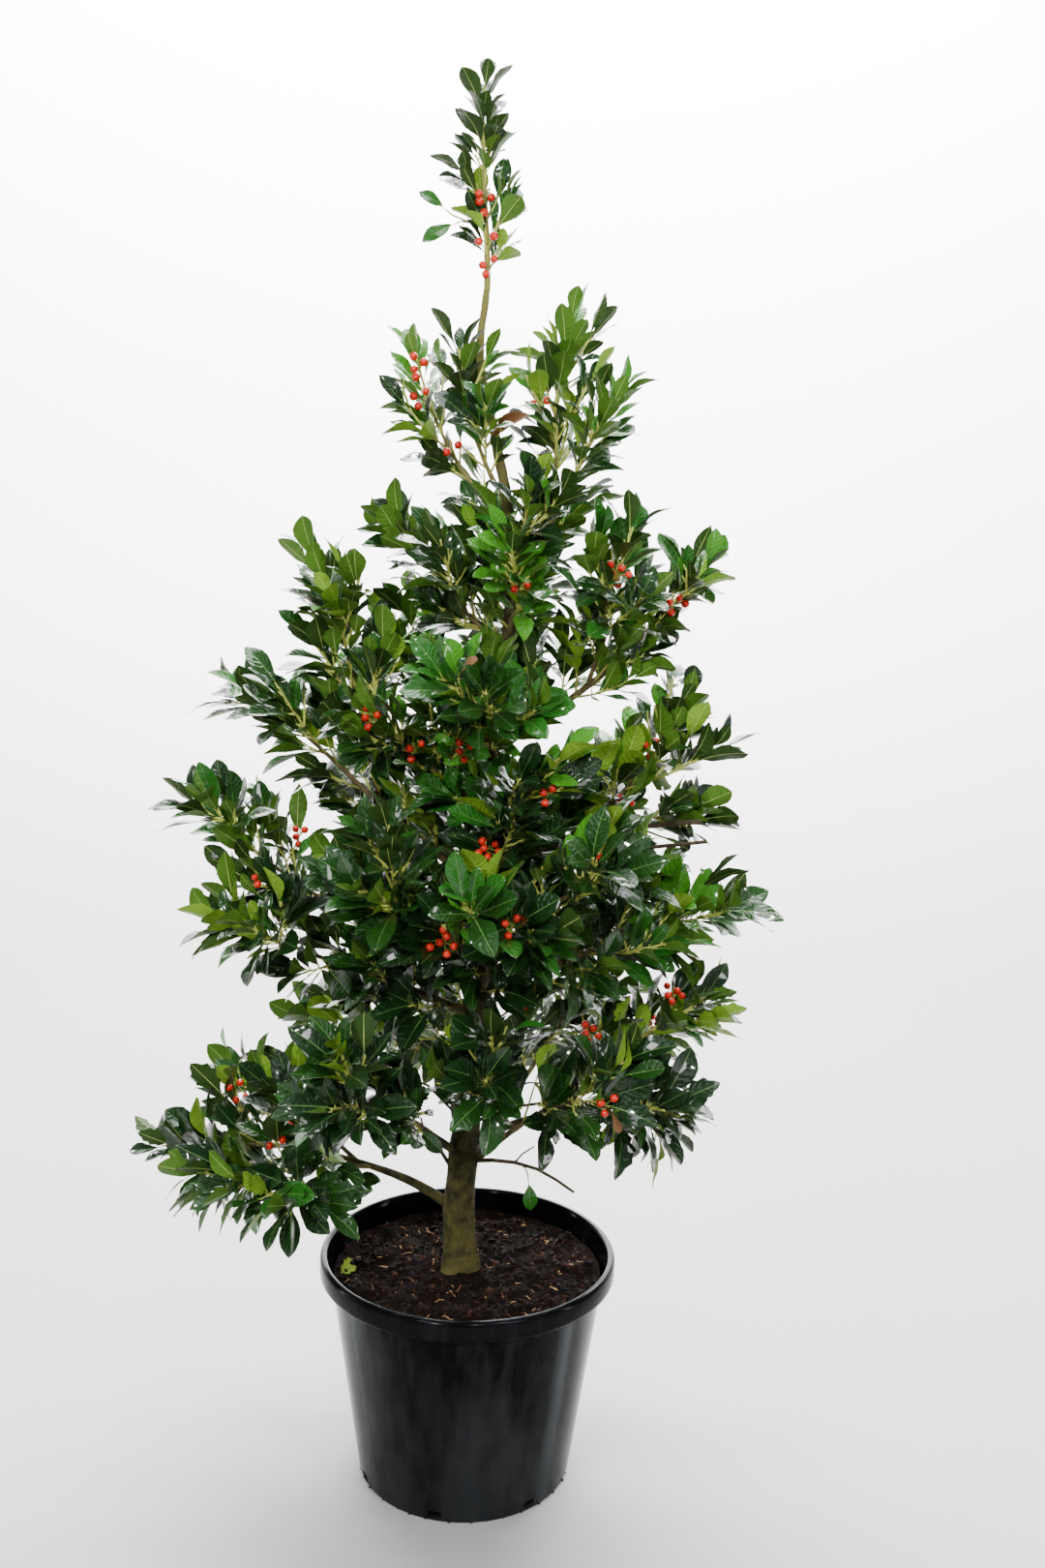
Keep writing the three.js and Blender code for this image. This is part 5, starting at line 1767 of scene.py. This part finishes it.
@dataclass
class Pot:
    """The nursery pot: a tapered moulding with a rolled collar and drain notches over its foot."""

    segments: int = 112
    notches: int = 7
    notch: Triple = (24, 18, 10.5)
    notch_sill: float = 5.4
    notch_round: float = 2
    first_notch: float = -154.3
    foot_radius: float = 147
    neck_radius: float = 189
    collar_radius: float = 204
    height: float = 320
    under: float = 291
    wall: float = 3
    floor: float = 4
    lip: float = 9.4
    burrs: int = 34

    def wall_radius(self, height: float) -> float:
        """Returns the outer wall's radius at a height under the collar."""
        return mix(self.foot_radius, self.neck_radius, height / self.under)

    def profile(self) -> list[Pair]:
        """Returns radius and height down the moulding's section, from the foot over the lip to the floor."""
        out, under, top = self.collar_radius, self.under, self.height
        return [
            (self.foot_radius - 3.5, 0), (self.foot_radius - 1, 0.8), (self.wall_radius(3), 3),
            *((self.wall_radius(h), h) for h in (5, 16.5, 22, 60, 120, 180, 240, under - 4)),
            (self.wall_radius(under - 1.2) + 0.3, under - 1.2), (self.neck_radius + 1.2, under - 0.4),
            (out - 5, under - 0.4), (out - 2.4, under + 0.2), (out - 0.8, under + 1.6),
            (out - 0.1, under + 3.8), (out, under + 7), (out - 0.2, top - 6), (out - 1.4, top - 2.6),
            (out - 3.6, top - 0.8), (out - 7, top), (out - self.lip, top - 1.2), (out - 11, top - 4),
            (out - 12.2, top - 9),
            (self.neck_radius - self.wall + 1.5, under + 3), (self.neck_radius - self.wall - 0.4, under - 6),
            (self.wall_radius(180) - self.wall, 180), (self.wall_radius(9) - self.wall, 9),
            (self.wall_radius(self.floor) - self.wall - 4, self.floor),
        ]

    def turn(self) -> Object:
        """Returns the pot's shell, drawn up ring by ring from its foot and down again inside."""
        rings = self.profile()
        pot = start_disc("pot_moulding", self.segments, *rings[0])
        for (radius, height), (wide, high) in zip(rings, rings[1:]):
            rise, grow = (high - height) * MM, wide / radius
            bpy.ops.mesh.extrude_region_move(TRANSFORM_OT_translate={"value": (0, 0, rise)})
            bpy.ops.transform.resize(value=(grow, grow, 1), center_override=(0, 0, high * MM))
        bpy.ops.mesh.select_all(action="SELECT")
        bpy.ops.mesh.normals_make_consistent(inside=False)
        bpy.ops.object.mode_set(mode="OBJECT")
        return pot

    def cut_notches(self, pot: Object) -> None:
        """Cuts the drain notches through the foot of the wall."""
        cutters = []
        height = self.notch_sill + self.notch[2] / 2
        for i in range(self.notches):
            angle = radians(self.first_notch + 360 / self.notches * i)
            middle = around(math.degrees(angle), self.foot_radius - self.wall, height)
            bpy.ops.mesh.primitive_cube_add(size=1, location=middle * MM, rotation=(0, 0, angle))
            cutter = bpy.context.object
            cutter.scale = [size * MM for size in self.notch]
            bpy.ops.object.transform_apply(location=True, rotation=True, scale=True)
            rounding = cutter.modifiers.new("round", "BEVEL")
            rounding.width, rounding.segments = self.notch_round * MM, 3
            bpy.ops.object.modifier_apply(modifier=rounding.name)
            cutters.append(cutter)
        cutter = join(cutters)
        select_only(pot)
        cut = pot.modifiers.new("notches", "BOOLEAN")
        cut.object, cut.operation, cut.solver = cutter, "DIFFERENCE", "EXACT"
        bpy.ops.object.modifier_apply(modifier=cut.name)
        bpy.data.objects.remove(cutter)

    def make_burrs(self) -> None:
        """Makes the nubs that the mould left along the foot's edge."""
        joined, chance = Joined(), Chance(Purpose.BURRS)
        nub = Shape.of(
            [(-1, 0, -0.6), (1, 0, -0.6), (0.6, 0, 0.7), (-0.6, 0, 0.5), (-0.5, -1.4, -0.4),
             (0.5, -1.2, -0.3), (0.2, -0.9, 0.3), (-0.3, -1.0, 0.2)], LUMP_FACES, [0] * 6)
        for i in range(self.burrs):
            azimuth = 360 * (i + chance(-0.3, 0.3)) / self.burrs
            size = chance(1.4, 2.9)
            turn = np.array(Matrix.Rotation(radians(azimuth + 90), 3, "Z")).T
            place = around(azimuth, self.foot_radius - 1.2, 1.2 + size * 0.6)
            joined.add(nub, nub.corners * size @ turn + place)
        settle(joined.make("pot_burrs", [MouldedPolypropylene("burr_polypropylene").build()], 30), "pot")

    def make(self) -> None:
        """Makes the pot."""
        self.make_burrs()
        pot = self.turn()
        self.cut_notches(pot)
        pot.data.materials.clear()
        for finish in (
            MouldedPolypropylene("pot_polypropylene"),
            # A copy with a darker film and fainter streaks for the collar, as painted shade.
            MouldedPolypropylene("collar_painted_shade_polypropylene", "#08080a", "#15161a", "#181a1d"),
            # A glossier copy for the lip's crest, whose paler tone is a painted highlight.
            MouldedPolypropylene("glossy_lip_painted_highlight_polypropylene", "#101113", "#1e1f22", "#222327", 0.12),
        ):
            pot.data.materials.append(finish.build())
        for face in pot.data.polygons:
            far = hypot(face.center.x, face.center.y) / MM
            # Collar faces take the painted shade copy.
            collar = face.center.z > (self.under - 1) * MM and far > self.neck_radius
            # Faces of the lip's crest take the painted highlight copy.
            lip = face.center.z > (self.height - 1) * MM and far > self.collar_radius - self.lip
            face.material_index = collar + lip
        shade_smooth(pot, 40)
        settle(pot, "pot", "pot")


@dataclass
class Substrate:
    """The peat in the pot, with its crumbled surface, bark chips, fibres and one fallen leaf."""

    level: float = 292
    radius: float = 184.4
    foot_radius: float = 142.5
    bottom: float = 5
    segments: int = 128
    rings: int = 34
    lump: float = 9
    lump_mm: float = 26
    crumb: float = 6
    crumb_mm: float = 8
    mound: float = 7
    mound_reach: float = 12
    chips: int = 3200
    tilt: float = 0.6
    stretches: tuple[Pair, ...] = ((0.8, 1.5), (0.6, 1.1), (0.7, 1.6))
    kinds: tuple[float, ...] = (0.5, 0.66, 0.682)
    sliver: Triple = (1.5, 0.45, 0.5)
    fibres: int = 74
    fallen: Pair = (-168, -8)
    fallen_length: float = 46

    def surface(self, x: float, y: float) -> float:
        """Returns the height of the peat at a place, level on the whole and lumpy close to."""
        slow = noise.noise(Vector((x, y, 0)) / self.lump_mm)
        fast = noise.noise(Vector((x, y, 50)) / self.crumb_mm)
        edge = clamp((self.radius - hypot(x, y)) / 12)
        beside = hypot(x - TRUNK[0, 1], y - TRUNK[0, 2]) - TRUNK[0, 3]
        mound = self.mound * math.exp(-max(beside, 0) / self.mound_reach)
        lumps = (self.lump * (slow - 0.3) + self.crumb * (fast - 0.3)) * (0.3 + 0.7 * edge)
        return self.level + mound + lumps

    def make_bed(self) -> None:
        """Makes the body of the peat."""
        bed = start_disc("substrate", self.segments, self.radius, self.level)
        for _ in range(self.rings):
            bpy.ops.mesh.inset(thickness=self.radius / (self.rings + 1) * MM)
        bpy.ops.object.mode_set(mode="OBJECT")
        for vertex in bed.data.vertices:
            vertex.co.z = self.surface(vertex.co.x / MM, vertex.co.y / MM) * MM
        body = bmesh.new()
        body.from_mesh(bed.data)
        rim = [edge for edge in body.edges if edge.is_boundary]
        drawn = bmesh.ops.extrude_edge_only(body, edges=rim)["geom"]
        share = self.foot_radius / self.radius
        for vertex in (part for part in drawn if isinstance(part, bmesh.types.BMVert)):
            vertex.co = vertex.co.x * share, vertex.co.y * share, self.bottom * MM
        bmesh.ops.holes_fill(body, edges=[edge for edge in body.edges if edge.is_boundary])
        bmesh.ops.recalc_face_normals(body, faces=body.faces)
        body.to_mesh(bed.data)
        body.free()
        bed.data.materials.append(Peat("moist_peat").build())
        shade_smooth(bed, 60)
        settle(bed, "soil", "soil")

    def spot(self, chance: Chance, margin: float) -> Array:
        """Returns a place on the peat, clear of the wall and of the trunk."""
        while True:
            reach = (self.radius - margin) * sqrt(chance())
            x, y, _ = around(chance(0, 360), reach, 0)
            if hypot(x - TRUNK[0, 1], y - TRUNK[0, 2]) > TRUNK[0, 3] + margin:
                return np.array((x, y, self.surface(x, y)))

    def make_litter(self) -> None:
        """Makes the chips and fibres that lie on the peat one piece."""
        chance, joined = Chance(Purpose.SUBSTRATE), Joined()
        wedge = Shape.of(
            [(-1, -0.6, -0.3), (1, -0.4, -0.3), (0.8, 0.5, -0.3), (-0.7, 0.6, -0.3),
             (-0.8, -0.4, 0.3), (0.7, -0.3, 0.15), (0.6, 0.3, 0.3), (-0.6, 0.5, 0.2)], LUMP_FACES, [0] * 6)
        for _ in range(self.chips):
            size = 1.2 + 4.6 * chance() ** 3
            place = self.spot(chance, size + 1)
            turn = Matrix.Rotation(chance(0, 2 * pi), 3, "Z")
            turn @= Matrix.Rotation(chance(-self.tilt, self.tilt), 3, "X")
            stretch = np.array([chance(*stretch) for stretch in self.stretches]) * size
            kind = chance()
            part = sum(kind >= share for share in self.kinds)
            if part == 2:
                stretch *= self.sliver
            corners = wedge.corners * stretch @ np.array(turn).T + place + UP * size * 0.25
            joined.add(wedge, corners, wedge.parts + part)
        for _ in range(self.fibres):
            place = self.spot(chance, 14)
            azimuth, length = chance(0, 360), chance(6, 24)
            bend = chance(-0.8, 0.8)
            angles = radians(azimuth) + bend * np.linspace(0, 1, 5)
            steps = np.column_stack((np.cos(angles), np.sin(angles), np.zeros(5)))
            points = place + np.cumsum(steps, 0) * length / 5
            points[:, 2] = [self.surface(x, y) + 0.8 for x, y, _ in points]
            slopes = unit(np.gradient(points, axis=0))
            chain = Chain(points, slopes, np.full(5, chance(0.4, 0.75)))
            joined.add(Shape.tube(chain, 4, 2 if chance() < 0.5 else 4))
        finishes = [PlainMatter(name, colour).build() for name, colour in (
            ("bark_chip_dark", "#150d09"), ("bark_chip_red", "#2f1911"), ("chip_pale", "#a8845c"),
            ("bark_chip_black", "#080504"), ("root_fibre", "#6e4a34"))]
        settle(joined.make("substrate_litter", finishes, 30), "soil")

    def make_fallen_leaf(self, foliage: Foliage) -> None:
        """Lays one lobed leaf on the peat by the wall."""
        shape, joined = foliage.models[LeafForm.SPINY][2], Joined()
        x, y = self.fallen
        ahead = unit(np.array((0.5, 0.8, 0.35)))
        face = squared(unit(np.array((0.5, -0.45, 0.7))), ahead)
        root = np.array((x, y, self.surface(x, y) + 3)) - ahead * 20
        turn = np.array((np.cross(ahead, face), ahead, face))
        joined.add(shape, shape.corners @ turn * self.fallen_length + root)
        skins = [LeafSkin(f"fallen_leaf_{side}", *finish).build() for side, *finish in (
            ("upper", "#7b8f2e", 0.45), ("rib", "#a9c06a", 0.5), ("underside", "#86a844", 0.55),
            ("rib_under", "#b9c97c", 0.5), ("stalk", "#8f9448", 0.5))]
        settle(joined.make("fallen_leaf", skins, 50), "foliage")


# ---- studio


@dataclass
class Studio:
    """A pale floor that sweeps up into a paler wall, soft light from large panels, and the camera."""

    half_width: float = 9
    front: float = -9
    wall: float = 3.6
    wall_height: float = 7
    sweep: float = 1.6
    sweep_steps: int = 16
    lens: float = 36.353
    camera_place: Triple = (0.0596, -2.0485, 1.3446)
    pitch: float = 10.184
    roll: float = 1.436

    def make_floor(self) -> None:
        """Makes the floor and the wall behind as one seamless painted board."""
        depth = self.wall - self.front
        bpy.ops.mesh.primitive_plane_add(size=1, location=(0, self.front + depth / 2, 0))
        floor = bpy.context.object
        floor.name = floor.data.name = "studio_sweep"
        floor.scale = (2 * self.half_width, depth, 1)
        bpy.ops.object.transform_apply(location=True, scale=True)
        bpy.ops.object.mode_set(mode="EDIT")
        bpy.ops.mesh.select_mode(type="EDGE")
        bpy.ops.mesh.select_all(action="DESELECT")
        bpy.ops.object.mode_set(mode="OBJECT")
        for edge in floor.data.edges:
            edge.select = all(floor.data.vertices[i].co.y > self.wall - 0.01 for i in edge.vertices)
        bpy.ops.object.mode_set(mode="EDIT")
        bpy.ops.mesh.extrude_region_move(TRANSFORM_OT_translate={"value": (0, 0, self.wall_height)})
        bpy.ops.object.mode_set(mode="OBJECT")
        curve = floor.modifiers.new("sweep", "BEVEL")
        curve.width, curve.segments, curve.limit_method = self.sweep, self.sweep_steps, "ANGLE"
        bpy.ops.object.modifier_apply(modifier=curve.name)
        bpy.ops.object.shade_smooth()
        paint = Surface("painted_board")
        height = paint.add_node("SeparateXYZ", (paint.place,)).outputs["Z"]
        share = paint.add_node("MapRange", {"Value": height, "From Max": 1.6})
        tone = paint.add_node("ValToRGB", (share,), stops=((0, "#979695"), (1, "#fdfdfc")))
        floor.data.materials.append(paint.finish({"Base Color": tone, "Roughness": 0.7}))

    @staticmethod
    def add_panel(
        name: str, place: Sequence[float], size: Pair, power: float,
        target: Sequence[float] = (0, 0, 0.8),
    ) -> None:
        """Adds a light panel that faces a target."""
        light = bpy.data.lights.new(name, "AREA")
        light.shape, light.size, light.size_y, light.energy = "RECTANGLE", size[0], size[1], power
        panel = bpy.data.objects.new(name, light)
        panel.location = place
        panel.rotation_euler = (Vector(target) - Vector(place)).to_track_quat("-Z", "Y").to_euler()
        bpy.context.scene.collection.objects.link(panel)

    def make_light(self) -> None:
        """Lights the plant from the front and above, with tall panels at both sides and a bright wall."""
        self.add_panel("key_panel", (-1.5, -2.6, 3), (0.85, 0.85), 74)
        self.add_panel("fill_panel", (1.9, -2.4, 2.4), (0.6, 0.6), 30)
        for i, place in enumerate(((0.4, -2.4, 2.3), (-0.9, -2.3, 1.7), (1.3, -2, 3.2))):
            self.add_panel(f"front_lamp_{i}", place, (0.13, 0.13), 39)
        self.add_panel("left_panel", (-2.3, 0.3, 0.8), (0.16, 1.5), 13)
        self.add_panel("right_panel", (2.3, -0.5, 0.8), (0.18, 1.5), 15)
        self.add_panel("top_panel", (0, 0.2, 4), (2, 2), 120)
        self.add_panel("wall_panel", (0, 1.6, 4.6), (5, 0.8), 2300, (0, self.wall, 2.4))
        world = bpy.context.scene.world = bpy.data.worlds.new("studio")
        world.use_nodes = True
        background = world.node_tree.nodes["Background"].inputs
        background["Color"].default_value = linear("#f2f2f1")
        background["Strength"].default_value = 0.2

    def make_camera(self) -> None:
        """Sets the camera at eye height, pitched down a little and rolled by a hair."""
        camera = bpy.data.objects.new("camera", bpy.data.cameras.new("camera"))
        camera.data.lens, camera.data.sensor_width, camera.data.sensor_fit = self.lens, 36.0, "AUTO"
        turn = Matrix.Rotation(radians(90 - self.pitch), 4, "X") @ Matrix.Rotation(radians(self.roll), 4, "Z")
        camera.matrix_world = Matrix.Translation(self.camera_place) @ turn
        bpy.context.scene.collection.objects.link(camera)
        bpy.context.scene.camera = camera

    def make(self) -> None:
        """Makes the whole studio."""
        self.make_floor()
        self.make_light()
        self.make_camera()


def main() -> None:
    """Builds the plant, its pot and the studio."""
    logging.basicConfig(level=logging.INFO, format="%(name)s: %(message)s")
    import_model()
    skeleton = Skeleton()
    Wood(skeleton).make()
    foliage = Foliage(Crown(skeleton))
    foliage.make_leaves()
    foliage.make_twigs()
    foliage.make_berries()
    Pot().make()
    substrate = Substrate()
    substrate.make_bed()
    substrate.make_litter()
    substrate.make_fallen_leaf(foliage)
    Studio().make()
    bpy.context.view_layer.update()


if __name__ == "__main__":
    main()
